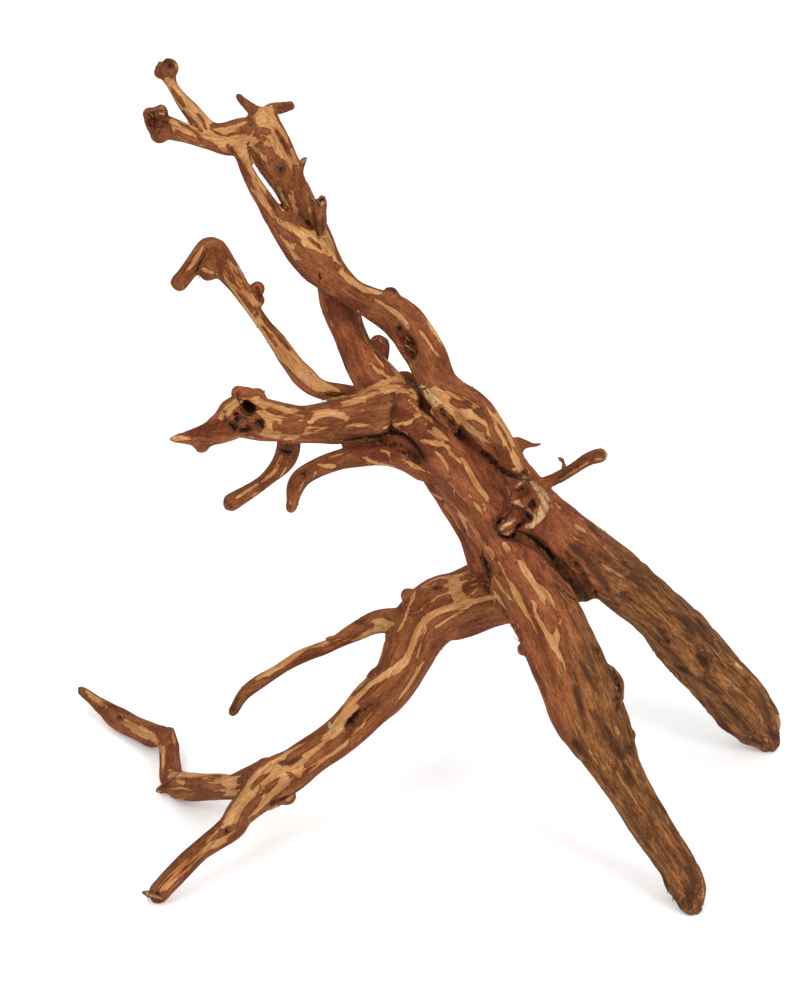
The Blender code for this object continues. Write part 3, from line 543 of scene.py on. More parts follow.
# Streaks and patches where the bark is gone
PALE_STREAKS = {
    "trunk": [
        [(407, 399, 0.5), (416, 408, 1.0), (424, 415, 1.4), (433, 421, 0.7)],
        [(422, 441, 1.2), (430, 443, 1.5), (440, 444, 1.3), (450, 447, 0.7)],
        [(435, 451, 0.6), (441, 457, 1.1), (447, 467, 0.9), (452, 480, 0.5)],
        [(443, 474, 0.4), (450, 484, 0.9), (458, 494, 0.8), (468, 503, 0.4)],
        [(457, 456, 0.4), (463, 460, 1.2), (469, 470, 1.9), (474, 480, 1.9), (480, 490, 1.5),
         (487, 498, 1.5), (489, 502, 0.6)],
        [(468, 494, 0.8), (472, 498, 0.8)],
        [(473, 501, 0.9), (478, 508, 1.3), (482, 514, 0.7)],
        [(483, 503, 0.8), (486, 512, 0.8)],
        [(409, 463, 1.5), (416, 467, 1.4), (424, 471, 0.7), (434, 474, 0.4), (443, 481, 0.3)],
        [(415, 482, 0.7), (428, 491, 1.2), (438, 497, 1.3), (446, 500, 1.0), (454, 506, 0.8)],
        [(452, 503, 0.7), (461, 513, 0.7), (468, 521, 0.8), (474, 529, 1.0), (480, 538, 1.0),
         (487, 548, 1.1),
         (493, 559, 1.2)],
        [(474, 518, 0.3), (484, 527, 0.35), (493, 538, 0.4)],
        [(489, 547, 0.8), (493, 552, 0.8), (496, 556, 0.4)],
        [(491, 487, 0.25), (498, 495, 0.3)],
        [(418, 422, 0.4), (430, 425, 0.6)],
    ],
    "front_leg": [
        [(514, 559, 0.6), (521, 563, 1.6), (526, 572, 2.0), (533, 582, 2.0), (539, 591, 1.8),
         (543, 600, 1.4), (545, 605, 0.5)],
        [(538, 583, 0.6), (546, 592, 1.2), (552, 602, 1.2), (556, 610, 0.7), (560, 619, 0.4)],
        [(498, 561, 0.7), (502, 568, 1.1), (507, 579, 0.9), (513, 588, 1.8), (519, 600, 2.1),
         (525, 611, 1.6), (530, 620, 0.8), (537, 633, 0.4), (545, 653, 0.3)],
        [(491, 567, 0.5), (495, 578, 0.8), (502, 589, 1.3), (510, 599, 1.2)],
        [(531, 600, 0.8), (535, 604, 1.3), (535, 613, 1.4), (541, 624, 1.5), (547, 634, 1.8),
         (553, 645, 2.2), (559, 655, 1.6), (564, 665, 0.9), (567, 676, 0.4)],
        [(561, 620, 0.7), (559, 628, 1.5), (556, 637, 2.1), (556, 645, 2.0)],
        [(531, 550, 0.4), (539, 558, 0.6), (548, 568, 0.4)],
        [(556, 667, 0.5), (562, 681, 0.6)],
        [(576, 656, 0.5), (588, 667, 0.8), (598, 677, 0.7)],
        [(560, 592, 0.4), (568, 603, 0.4), (575, 612, 0.3)],
        [(614, 726, 0.9), (618, 732, 1.3), (621, 739, 0.7)],
        [(588, 748, 0.6), (594, 758, 1.0), (600, 769, 0.5)],
        [(610, 762, 0.5), (617, 772, 0.8), (624, 783, 1.2), (631, 793, 1.3), (637, 804, 0.5)],
        [(638, 808, 0.4), (645, 822, 0.6), (653, 836, 0.6), (662, 851, 0.4)],
        [(573, 717, 0.4), (580, 730, 0.7)],
        [(625, 766, 0.9), (628, 772, 0.9)],
    ],
    "right_leg": [
        [(568, 533, 0.6), (576, 539, 0.7), (584, 543, 0.4)],
        [(590, 530, 0.5), (597, 540, 0.7)],
        [(604, 547, 0.9), (611, 554, 1.1), (618, 560, 0.6)],
        [(597, 560, 0.4), (608, 568, 0.9), (618, 574, 1.2), (626, 580, 0.8)],
        [(650, 580, 0.4), (660, 587, 0.6), (668, 595, 0.8), (675, 603, 0.6)],
        [(658, 592, 0.4), (670, 604, 0.5)],
        [(642, 603, 0.4), (648, 611, 0.6)],
        [(660, 622, 0.6), (672, 632, 0.9), (684, 640, 0.7)],
        [(705, 642, 0.8), (718, 655, 1.0), (728, 668, 0.8)],
        [(722, 674, 0.8), (735, 687, 1.2), (748, 698, 0.9), (758, 709, 0.5)],
        [(730, 700, 0.5), (745, 715, 0.6), (758, 733, 0.4)],
    ],
    "left_leg": [
        [(502, 596, 1.0), (488, 598, 1.5), (470, 602, 1.8), (455, 606, 1.8), (440, 611, 1.9),
         (428, 617, 2.1), (420, 626, 2.1), (415, 637, 1.9), (411, 650, 1.8), (405, 661, 2.5),
         (395, 670, 2.6), (383, 676, 2.1), (372, 683, 2.1), (362, 692, 2.0), (352, 702, 2.2),
         (345, 712, 2.4), (338, 722, 2.2)],
        [(494, 592, 1.2), (498, 598, 2.0), (503, 605, 1.2), (507, 611, 0.4)],
        [(485, 581, 0.6), (477, 589, 0.8), (468, 598, 0.8)],
        [(446, 577, 1.8), (454, 579, 3.2), (455, 588, 3.4), (457, 597, 2.8)],
        [(462, 583, 0.9), (458, 590, 2.0), (464, 597, 1.6)],
        [(447, 582, 1.2), (444, 587, 0.7)],
        [(470, 571, 0.6), (461, 575, 1.4), (450, 576, 1.8), (438, 578, 1.7), (429, 582, 1.2),
         (422, 587, 0.7)],
        [(480, 577, 0.4), (470, 580, 0.7), (460, 582, 1.0)],
        [(449, 592, 0.7), (438, 596, 0.8), (432, 602, 0.8)],
        [(476, 602, 0.7), (461, 612, 0.9), (448, 619, 1.0), (436, 627, 0.9)],
        [(424, 607, 0.4), (415, 614, 0.6), (409, 618, 0.4)],
        [(416, 588, 0.5), (413, 597, 1.4), (409, 607, 1.0), (404, 621, 1.1), (398, 632, 0.8)],
        [(490, 618, 0.5), (478, 622, 0.6), (466, 625, 0.4)],
        [(426, 628, 0.8), (421, 642, 0.6), (418, 655, 0.7), (416, 668, 0.5)],
        [(424, 661, 0.9), (415, 676, 1.3), (406, 690, 1.3), (396, 703, 0.7)],
        [(372, 712, 0.6), (362, 726, 0.9), (350, 735, 0.9), (343, 742, 0.6)],
        [(445, 640, 0.4), (452, 630, 0.4)],
    ],
    "head": [
        [(172, 438, 1.2), (182, 437, 1.4), (190, 439, 0.8)],
        [(186, 427, 0.5), (200, 420, 0.7), (214, 413, 0.8)],
        [(225, 417, 1.5), (230, 410, 1.8), (232, 404, 1.0)],
        [(244, 399, 0.8), (251, 399, 1.0), (259, 404, 1.2), (265, 409, 1.0)],
        [(259, 412, 1.3), (267, 415, 2.2), (269, 425, 2.8), (266, 434, 2.6), (276, 437, 1.8)],
        [(232, 436, 0.5), (245, 437, 0.8), (258, 437, 1.2)],
        [(312, 418, 1.0), (319, 413, 1.8), (327, 412, 1.8), (334, 416, 0.8)],
        [(316, 431, 0.7), (322, 429, 1.2), (328, 427, 0.8)],
        [(277, 432, 1.0), (284, 439, 1.4), (296, 438, 1.2), (306, 434, 1.0)],
        [(343, 428, 0.5), (352, 425, 1.0), (363, 425, 1.2), (374, 427, 0.6)],
        [(308, 404, 0.4), (330, 399, 0.8), (350, 396, 1.0), (370, 389, 1.5), (384, 382, 1.9),
         (398, 378, 1.4)],
        [(340, 408, 0.5), (352, 405, 0.9), (366, 402, 0.5)],
        [(358, 412, 0.4), (366, 409, 0.6)],
    ],
    "low_twigs": [
        [(282, 455, 0.9), (278, 465, 0.8), (274, 472, 1.0), (268, 477, 1.2), (262, 482, 0.9)],
        [(286, 468, 0.8), (280, 478, 0.8), (270, 485, 0.6)],
        [(258, 484, 0.9), (245, 492, 1.1), (236, 498, 0.8)],
        [(318, 465, 0.8), (330, 466, 1.6), (336, 466, 0.9)],
        [(325, 458, 0.9), (338, 455, 0.8), (346, 454, 0.4)],
        [(316, 472, 0.9), (312, 480, 0.6)],
        [(303, 481, 0.8), (300, 491, 0.7)],
        [(291, 500, 0.9), (290, 508, 0.9)],
        [(364, 457, 0.9), (372, 462, 1.4), (385, 465, 1.5), (395, 467, 0.9)],
        [(380, 450, 0.6), (388, 452, 0.9), (392, 461, 0.8)],
        [(402, 452, 0.6), (404, 463, 0.6)],
        [(560, 480, 0.7), (575, 470, 0.8), (588, 462, 0.5)],
    ],
    "crown": [
        [(290, 170, 1.1), (293, 180, 0.8), (296, 192, 0.4)],
        [(284, 190, 0.9), (290, 202, 0.8), (296, 214, 0.5)],
        [(268, 222, 0.5), (276, 231, 0.6), (284, 239, 1.0), (292, 249, 1.4), (298, 258, 1.3)],
        [(285, 221, 0.6), (291, 227, 1.0), (300, 233, 1.8), (308, 240, 2.4), (316, 245, 1.8),
         (324, 251, 1.2)],
        [(322, 232, 1.4), (330, 248, 1.6), (337, 263, 1.1)],
        [(340, 271, 1.4), (350, 280, 1.9), (365, 289, 2.2), (381, 293, 1.4)],
        [(298, 268, 0.6), (310, 274, 0.7)],
        [(304, 200, 0.6), (310, 212, 0.8)],
        [(322, 285, 0.4), (332, 293, 0.5), (345, 301, 0.5), (353, 303, 0.4)],
    ],
    "arch": [
        [(375, 300, 0.8), (388, 306, 1.3), (400, 316, 1.5), (409, 327, 1.3)],
        [(396, 292, 0.5), (408, 302, 0.6), (420, 315, 0.6)],
        [(420, 330, 0.9), (430, 345, 1.1), (438, 356, 1.0)],
        [(324, 300, 0.6), (328, 314, 0.8), (333, 327, 0.9)],
        [(372, 340, 0.8), (378, 338, 1.0), (384, 344, 0.7)],
        [(374, 350, 0.5), (380, 352, 0.6)],
        [(358, 310, 1.0), (361, 325, 0.7), (366, 340, 0.7), (374, 353, 0.8), (383, 367, 1.1)],
        [(368, 361, 0.7), (378, 371, 1.3), (390, 378, 0.9)],
    ],
    "strand": [
        [(446, 409, 0.8), (455, 415, 1.4), (463, 422, 2.2), (470, 430, 2.3), (476, 434, 1.2)],
        [(500, 428, 0.5), (506, 440, 0.9), (511, 452, 0.8), (514, 464, 0.5)],
        [(513, 441, 0.6), (518, 452, 0.9), (522, 464, 0.7), (530, 473, 0.6)],
        [(504, 460, 0.4), (512, 469, 0.8), (524, 471, 0.6)],
        [(489, 404, 0.8), (498, 413, 0.9), (505, 424, 0.8), (514, 437, 0.8)],
        [(482, 446, 0.5), (490, 443, 0.5), (496, 438, 0.4)],
    ],
    "hooked_arm": [
        [(188, 270, 1.2), (198, 256, 1.4), (203, 246, 0.7)],
        [(204, 269, 1.4), (212, 273, 1.1)],
        [(307, 367, 0.7), (316, 377, 1.3), (328, 385, 1.3), (339, 391, 0.8)],
        [(292, 370, 0.3), (305, 366, 0.4)],
    ],
    "trailing_foot": [
        [(176, 781, 0.9), (184, 783, 1.5)],
        [(203, 778, 1.0), (210, 779, 0.9)],
        [(212, 792, 0.6), (228, 789, 0.9), (240, 784, 0.7)],
        [(170, 789, 0.4), (182, 788, 0.8), (192, 790, 0.6)],
        [(167, 770, 1.1), (173, 770, 1.1)],
        [(88, 692, 1.2), (100, 702, 1.0)],
    ],
}

# Dark stains, mostly on the two legs that stood in the ground
STAINS = {
    "front_leg": [
        [(556, 585, 1.2), (563, 593, 1.2)],
        [(573, 620, 0.7), (582, 636, 0.8), (589, 651, 0.7)],
        [(580, 662, 1.4), (588, 676, 1.6), (596, 690, 1.1)],
        [(576, 688, 1.9), (580, 703, 2.2), (582, 716, 1.5)],
        [(590, 710, 0.7), (599, 720, 1.8), (606, 733, 2.6), (614, 745, 2.9), (622, 757, 2.2)],
        [(583, 719, 0.7), (587, 733, 0.9)],
        [(574, 742, 1.4), (580, 750, 1.8), (588, 758, 0.9)],
        [(627, 747, 1.5), (630, 753, 1.2)],
        [(632, 780, 0.7), (640, 788, 1.3), (647, 796, 0.7)],
        [(624, 800, 0.9), (632, 812, 1.3), (640, 824, 1.0), (650, 838, 1.1)],
        [(648, 816, 1.3), (654, 828, 1.6), (658, 837, 0.9)],
        [(645, 842, 1.1), (652, 851, 1.2)],
        [(660, 835, 0.9), (668, 848, 1.2), (676, 860, 1.2), (684, 869, 1.2)],
        [(688, 870, 2.2), (693, 880, 2.8), (693, 892, 2.0)],
        [(601, 776, 0.7), (607, 785, 0.8)],
        [(504, 575, 0.4), (498, 571, 0.7)],
        [(609, 670, 1.2), (617, 682, 2.4), (619, 696, 2.4), (616, 712, 1.6)],
        [(509, 581, 0.6), (510, 587, 0.6)],
    ],
    "right_leg": [
        [(588, 526, 1.4), (594, 531, 1.8), (602, 538, 0.8)],
        [(570, 545, 1.6), (582, 555, 2.2), (594, 568, 2.4), (604, 582, 2.0)],
        [(590, 562, 1.4), (599, 570, 1.4)],
        [(600, 553, 0.9), (610, 561, 1.1)],
        [(622, 563, 1.1), (631, 570, 1.2), (640, 579, 0.8)],
        [(605, 580, 1.5), (608, 591, 1.6)],
        [(635, 580, 0.9), (645, 590, 1.4), (655, 598, 1.2), (663, 607, 1.1)],
        [(665, 611, 0.7), (676, 614, 1.4), (685, 622, 2.0), (694, 632, 1.5)],
        [(658, 629, 1.3), (663, 634, 1.8), (668, 642, 0.9)],
        [(697, 655, 1.3), (703, 660, 2.2), (708, 669, 1.7)],
        [(674, 664, 1.1), (682, 670, 1.6), (691, 675, 1.3)],
        [(700, 678, 1.7), (710, 686, 2.0), (721, 695, 1.3)],
        [(724, 703, 1.1), (733, 712, 1.8), (743, 723, 1.8), (751, 732, 1.1)],
        [(757, 688, 0.9), (765, 703, 1.6), (770, 719, 1.5)],
        [(750, 738, 1.2), (762, 744, 1.6)],
    ],
    "elsewhere": [
        [(302, 757, 0.6), (292, 762, 1.3), (281, 763, 1.2)],
        [(104, 702, 1.4), (115, 708, 1.6)],
        [(120, 718, 1.2), (122, 719, 1.0)],
        [(238, 698, 1.2), (233, 709, 1.9)],
        [(197, 784, 0.9), (202, 786, 0.9)],
        [(152, 113, 1.6), (160, 110, 1.4)],
        [(279, 167, 1.1), (282, 171, 1.1)],
        [(304, 165, 1.0), (307, 160, 0.8)],
        [(168, 57, 1.6), (171, 65, 1.4)],
        [(163, 62, 0.5), (165, 72, 0.7)],
        [(365, 622, 1.4), (352, 622, 1.0)],
        [(388, 288, 1.8), (394, 290, 1.8)],
        [(316, 198, 2.2), (318, 203, 1.8)],
        [(598, 453, 1.2), (603, 455, 1.6), (604, 460, 1.2)],
        [(560, 478, 1.2), (566, 474, 1.5), (574, 468, 1.1), (580, 464, 0.6)],
        [(584, 459, 0.7), (592, 458, 0.9)],
        [(225, 500, 1.0), (230, 506, 1.2)],
        [(436, 588, 0.9), (439, 588, 0.9)],
    ],
}

# Dark reddish bark, on the lower half of the snake's head, in the notches and by the knots, and
# painted shade under the crown laid on in the same dark red
RED_BARK_AND_SHADE = {
    "head": [
        [(190, 433, 2.5), (205, 430, 4.5), (220, 427, 5.0), (230, 431, 3.5)],
        [(238, 393, 1.5), (240, 400, 1.6)],
    ],
    "elsewhere": [
        [(395, 410, 3.5), (410, 425, 5.0), (428, 450, 5.5), (445, 440, 3.0)],
        [(350, 449, 3.0), (372, 450, 5.0), (392, 455, 5.0)],
        [(405, 397, 0.8), (420, 402, 1.4), (437, 415, 1.2)],
        [(475, 585, 2.5), (486, 577, 4.0), (490, 590, 3.0)],
        [(350, 445, 1.5), (370, 444, 2.5), (400, 448, 3.5), (412, 455, 2.0)],
        [(497, 448, 2.5), (507, 458, 3.0), (510, 468, 2.0)],
        [(398, 330, 3.0), (407, 340, 4.0), (412, 352, 3.5)],
        [(335, 298, 2.0), (350, 302, 2.5), (370, 308, 1.5)],
        [(545, 562, 1.2), (556, 578, 2.0), (568, 590, 1.6)],
        [(332, 392, 1.8), (345, 394, 1.4)],
        [(360, 380, 2.5), (372, 388, 2.5)],
    ],
}

# Cracks and notches: (across, down, half width), pressed in by about their half width and darkened
# along them with painted shade
CRACKS = {
    "trunk": [
        [(393, 405, 0.3), (391, 418, 0.6), (391, 428, 1.1), (392, 434, 1.4)],
        [(340, 441, 0.7), (362, 438, 1.0), (378, 436, 1.2), (392, 432, 1.6), (403, 434, 1.6),
         (413, 442, 1.5), (420, 452, 1.3), (426, 462, 0.6)],
        [(436, 410, 0.6), (447, 417, 0.9), (456, 427, 0.8), (461, 435, 0.5)],
        [(481, 450, 0.8), (488, 457, 0.7), (496, 463, 0.9), (501, 471, 1.0), (510, 477, 1.1),
         (522, 476, 0.8)],
        [(494, 447, 0.5), (497, 455, 0.6)],
        [(385, 380, 0.4), (383, 374, 0.4)],
    ],
    "legs": [
        [(518, 531, 0.9), (526, 534, 1.3), (534, 539, 1.8), (541, 545, 1.9), (548, 551, 1.9),
         (555, 560, 1.4)],
        [(555, 582, 0.6), (563, 590, 0.9), (570, 597, 1.2), (576, 600, 0.9)],
        [(400, 640, 0.2), (395, 650, 0.4), (390, 660, 0.3)],
        [(373, 704, 0.6), (364, 709, 1.2), (356, 714, 1.7), (350, 720, 1.9), (346, 726, 0.9)],
        [(260, 784, 0.5), (260, 790, 0.8), (257, 795, 0.6)],
        [(226, 830, 0.9), (227, 832, 0.9)],
        [(156, 892, 0.7), (158, 894, 0.7)],
        [(181, 771, 0.4), (172, 780, 0.6), (163, 787, 0.7)],
        [(497, 600, 0.6), (503, 610, 0.8), (512, 622, 0.9), (522, 640, 0.7)],
        [(480, 548, 0.8), (487, 562, 1.2), (489, 578, 1.0)],
        [(467, 520, 0.4), (477, 533, 0.7), (485, 545, 0.9)],
        [(608, 665, 0.5), (614, 682, 0.7), (618, 700, 0.6)],
        [(595, 648, 0.8), (598, 652, 0.8)],
        [(285, 797, 0.5), (272, 802, 0.6)],
    ],
    "knot": [
        [(497, 524, 1.8), (501, 520, 1.6), (506, 518, 1.0)],
        [(499, 535, 1.2), (506, 537, 1.5), (513, 536, 1.5), (516, 530, 1.7), (519, 525, 1.8)],
        [(527, 514, 1.6), (530, 518, 1.9)],
        [(518, 491, 0.9), (523, 488, 0.9)],
        [(533, 500, 0.7), (535, 506, 1.0)],
    ],
    "crown": [
        [(280, 138, 0.3), (283, 143, 0.5), (287, 149, 0.3)],
        [(269, 199, 0.4), (273, 206, 0.8), (275, 211, 0.4)],
        [(277, 214, 0.3), (280, 222, 0.4)],
        [(312, 205, 0.7), (314, 215, 0.7), (316, 228, 0.8), (319, 238, 1.0)],
        [(309, 222, 0.9), (312, 228, 1.1)],
        [(280, 167, 0.7), (281, 169, 0.7)],
        [(319, 272, 0.5), (320, 279, 1.2)],
        [(196, 134, 0.2), (203, 144, 0.4)],
        [(252, 124, 0.4), (250, 126, 0.4)],
        [(407, 340, 1.0), (413, 344, 1.4)],
    ],
    "hooked_arm": [
        [(207, 247, 0.4), (204, 256, 0.6), (199, 264, 0.8), (197, 271, 1.0)],
        [(214, 246, 0.3), (216, 252, 0.5)],
        [(325, 394, 0.7), (335, 396, 0.9), (346, 393, 0.5)],
        [(264, 305, 0.4), (266, 310, 0.3)],
    ],
    "head": [
        [(246, 406, 3.4), (251, 409, 4.0)],
        [(230, 424, 1.6), (235, 428, 2.0)],
        [(241, 430, 1.8), (247, 431, 1.4)],
        [(257, 421, 1.0), (262, 424, 1.9), (263, 428, 1.2)],
        [(235, 414, 1.6), (237, 420, 2.0)],
        [(247, 426, 1.2), (250, 429, 1.2)],
        [(223, 411, 0.8), (225, 412, 0.8)],
        [(277, 448, 0.6), (286, 452, 1.3), (292, 452, 0.8)],
        [(304, 473, 0.8), (305, 476, 0.8)],
        [(196, 434, 0.4), (197, 436, 0.4)],
        [(237, 392, 0.5), (238, 400, 0.7)],
    ],
}

# Raw torn wood, paler and more fibrous than what water has smoothed
TORN_WOOD = {
    "knot": [
        [(531, 482, 0.8), (536, 487, 1.4), (541, 492, 2.0), (545, 498, 2.6), (545, 506, 2.6),
         (542, 514, 2.6), (538, 520, 2.0), (533, 526, 1.4), (528, 527, 1.6)],
        [(528, 510, 1.0), (532, 512, 0.8), (534, 517, 1.0)],
        [(501, 530, 0.5), (505, 526, 0.9), (511, 522, 1.0), (515, 520, 0.5)],
        [(502, 534, 0.6), (508, 532, 0.7)],
        [(506, 507, 0.6), (512, 503, 1.0), (518, 502, 1.1), (523, 506, 1.0)],
        [(515, 493, 0.5), (517, 486, 0.5), (524, 481, 0.6)],
    ],
    "strand": [
        [(411, 384, 1.0), (420, 388, 2.0), (430, 393, 2.6), (436, 403, 2.0)],
    ],
    "elsewhere": [
        [(263, 785, 0.5), (264, 790, 0.5)],
        [(148, 893, 1.2), (160, 898, 1.0)],
        [(330, 725, 1.4), (334, 731, 1.0)],
        [(316, 200, 1.4), (322, 203, 1.2)],
        [(303, 162, 1.0), (305, 160, 0.8)],
        [(155, 110, 0.9), (162, 108, 0.8)],
        [(610, 672, 0.6), (619, 680, 0.6)],
        [(736, 664, 0.9), (742, 668, 0.6)],
    ],
}

# Thin orange bark on the slender limbs, where the thick trunk has dark red bark
THIN_BARK = {
    "left_leg": [
        [(505, 600, 9), (430, 612, 12), (395, 680, 12), (340, 735, 10), (250, 810, 8),
         (150, 892, 7)],
    ],
    "crown": [
        [(236, 96, 3), (262, 110, 3), (292, 105, 3)],
        [(160, 70, 4), (190, 112, 6), (250, 130, 12), (290, 205, 11), (330, 270, 9),
         (385, 305, 8), (425, 350, 6)],
        [(160, 125, 5), (200, 135, 6)],
    ],
    "hooked_arm": [
        [(182, 280, 6), (208, 245, 8), (240, 290, 7), (290, 360, 6), (345, 392, 5)],
    ],
    "arm": [
        [(262, 415, 10), (320, 415, 11), (375, 405, 11)],
    ],
    "low_twigs": [
        [(290, 452, 5), (265, 480, 5), (228, 502, 5)],
        [(295, 500, 5), (310, 472, 6), (350, 458, 6), (395, 464, 5)],
    ],
    "side_twig": [
        [(398, 622, 6), (350, 632, 6), (300, 655, 5), (236, 705, 5)],
    ],
    "trailing_foot": [
        [(245, 786, 6), (165, 785, 7), (166, 735, 7), (80, 688, 5)],
    ],
    "strand": [
        [(425, 390, 5), (470, 412, 7), (508, 450, 8), (530, 480, 5)],
    ],
    "right_twig": [
        [(552, 485, 4), (600, 456, 4)],
    ],
}

# Rotted places: sunk, lumpy, black in the gaps and brown on the lumps; two of them, in the dark
# hollows beside the strand, are painted shade made the same way
ROT_AND_SHADE = {
    "head": [
        [(225, 417, 1.2), (231, 425, 2.2), (240, 429, 2.5), (250, 428, 2.2), (259, 423, 1.6)],
        [(236, 414, 1.1), (245, 420, 1.2)],
        [(244, 402, 2.0), (251, 409, 2.0)],
    ],
    "crown": [
        [(151, 121, 2.4), (157, 128, 3.0), (163, 122, 3.0), (167, 115, 1.6)],
        [(157, 62, 1.6), (165, 59, 2.0), (170, 65, 1.8)],
        [(314, 199, 1.4), (322, 201, 1.4)],
        [(400, 330, 1.6), (407, 340, 2.8), (413, 352, 3.0)],
        [(307, 221, 0.8), (312, 227, 1.0)],
        [(257, 288, 0.8), (261, 298, 0.8)],
    ],
    "trunk": [
        [(372, 440, 0.9), (385, 441, 1.5), (398, 446, 2.4), (410, 454, 2.4), (418, 462, 1.4)],
        [(441, 409, 0.9), (450, 420, 1.8), (458, 432, 1.8)],
        [(484, 450, 1.2), (492, 460, 1.7), (503, 471, 1.4), (516, 477, 1.0)],
        [(526, 510, 1.0), (530, 517, 1.4), (522, 524, 1.2)],
        [(494, 521, 0.8), (496, 530, 1.0), (504, 537, 0.9), (514, 536, 1.0)],
    ],
    "legs": [
        [(542, 545, 1.0), (553, 558, 1.8), (564, 574, 2.2), (573, 590, 2.0)],
        [(372, 705, 0.7), (360, 712, 1.4), (350, 722, 1.6)],
        [(566, 552, 1.2), (578, 568, 1.8), (588, 584, 2.0), (596, 597, 1.4)],
        [(482, 558, 1.4), (489, 573, 1.9), (488, 590, 1.6)],
        [(285, 798, 1.3), (272, 803, 1.3)],
        [(614, 672, 1.2), (619, 688, 1.6), (617, 704, 1.2)],
        [(690, 897, 1.4), (700, 892, 1.2)],
        [(150, 893, 1.0), (158, 894, 1.2)],
        [(708, 660, 1.2), (714, 655, 0.8)],
    ],
}

# Knots whose rings show: (across, down, radius)
KNOTS = [
    (704, 660, 6.5), (668, 641, 4.5), (683, 669, 4.0), (281, 169, 3.8), (437, 588, 4.0),
    (304, 474, 3.0), (577, 745, 4.0), (632, 748, 5.0), (226, 831, 2.5), (500, 574, 2.0),
    (597, 650, 3.0), (120, 717, 3.0),
]

# Where torn fibres stick out of the skin: (across, down, how many, length in mm)
FRINGES = [
    (173, 58, 3, 3), (197, 416, 2, 4), (214, 409, 2, 4), (185, 426, 2, 4), (417, 482, 3, 4),
    (474, 391, 3, 5), (308, 447, 3, 4), (300, 503, 2, 4), (363, 684, 3, 5), (373, 675, 3, 4),
    (278, 803, 2, 4), (511, 630, 4, 4), (518, 640, 5, 5), (526, 652, 4, 4), (672, 893, 4, 4),
    (684, 899, 5, 5), (698, 896, 5, 4), (748, 739, 4, 4), (758, 742, 5, 4), (144, 892, 4, 4),
    (183, 286, 2, 3), (236, 95, 3, 3), (315, 200, 6, 4), (322, 202, 6, 5), (416, 386, 5, 4),
    (424, 390, 5, 4), (500, 522, 3, 2), (507, 518, 3, 3), (545, 497, 4, 3),
    (536, 482, 4, 3), (524, 485, 4, 4), (518, 492, 4, 4), (599, 455, 4, 3), (391, 400, 3, 4),
    (338, 441, 4, 4), (365, 439, 3, 4), (154, 112, 4, 3), (305, 165, 2, 2), (405, 345, 4, 4),
    (482, 548, 4, 4), (487, 566, 4, 4), (495, 600, 3, 5), (470, 520, 3, 4), (615, 690, 3, 4),
]


def smooth_route(knots):
    """Points every few millimetres on a Catmull-Rom curve through (x, y, z, radius) knots."""
    knots = np.array(knots, dtype=float)
    before = 2 * knots[0] - knots[1]
    after = 2 * knots[-1] - knots[-2]
    knots = np.vstack([before, knots, after])
    stretches = []
    for a, b, c, d in zip(knots, knots[1:], knots[2:], knots[3:]):
        steps = max(2, math.ceil(np.linalg.norm((c - b)[:3]) / ROUTE_SPACING))
        t = np.arange(steps)[:, None] / steps
        bend = 2 * a - 5 * b + 4 * c - d + t * (3 * (b - c) + d - a)
        stretches.append(b + t * (c - a + t * bend) / 2)
    route = np.vstack(stretches + [knots[-2]])
    route[:, 3] = np.maximum(route[:, 3], THINNEST_RADIUS)
    return route


def with_round_ends(route):
    """The route with a few shrinking rings past each end, which close the tube as a dome."""
    def dome(end, inner):
        ahead = (end - inner)[:3] / np.linalg.norm((end - inner)[:3])
        rings = [np.append(end[:3] + ahead * end[3] * far, end[3] * wide)
                 for far, wide in ROUND_END]
        return np.array(rings)

    return np.vstack([dome(route[0], route[1])[::-1], route, dome(route[-1], route[-2])])


def limb_along(route):
    """The route with its distances and two directions across it that don't turn about it."""
    places = route[:, :3]
    steps = np.diff(places, axis=0)
    distance = np.concatenate([[0.0], np.cumsum(np.linalg.norm(steps, axis=1))])
    tangents = np.gradient(places, axis=0)
    tangents /= np.linalg.norm(tangents, axis=1)[:, None]
    side = np.cross(tangents[0], CROSSWISE)
    sides = []
    for tangent in tangents:
        side = side - tangent * (side @ tangent)
        side = side / np.linalg.norm(side)
        sides.append(side)
    sides = np.array(sides)
    return Limb(places, route[:, 3], distance, sides, np.cross(tangents, sides), tangents)


def routed(knots):
    """A limb from its few knots."""
    return limb_along(with_round_ends(smooth_route(knots)))


def turns(count):
    """Angles that share a full turn evenly."""
    return np.arange(count) * 2 * math.pi / count


def ring_faces(rings, around, first=0):
    """Triangles between neighbouring rings of a closed tube, and a fan to a pole at each end.

    Points are numbered from first, ring by ring, and the two poles come last."""
    ring = np.arange(rings - 1)[:, None] * around
    here = np.arange(around)[None, :]
    there = (here + 1) % around
    a, b = ring + here, ring + there
    c, d = b + around, a + around
    sides = np.stack([a, b, c, a, c, d], axis=-1).reshape(-1, 3)
    start, end = rings * around, rings * around + 1
    last = (rings - 1) * around
    near = np.stack([there[0], here[0], np.full(around, start)], axis=1)
    far = np.stack([last + here[0], last + there[0], np.full(around, end)], axis=1)
    return np.vstack([sides, near, far]) + first


def tube(limb, phase):
    """A limb's skin: centre(s) + radius(s) (1 + lobes(angle, s)) (cos angle, sin angle) across it.

    The lobes are cosines of 2, 3 and 5 times the angle, whose start turns slowly along the limb."""
    angle = turns(RING_POINTS)
    turned = angle[None, :] + FLUTE_TURN * limb.along[:, None]
    share = np.minimum(limb.radii / FULL_FLUTE_RADIUS, 1.0)[:, None]
    lobes = sum(depth * np.cos(count * turned + phase * count ** 2) for count, depth in FLUTE_LOBES)
    reach = (limb.radii[:, None] * (1 + share * lobes))[:, :, None]
    across = (np.cos(angle)[None, :, None] * limb.sides[:, None]
              + np.sin(angle)[None, :, None] * limb.ups[:, None])
    skin = (limb.places[:, None] + reach * across).reshape(-1, 3)
    return np.vstack([skin, limb.places[:1], limb.places[-1:]])


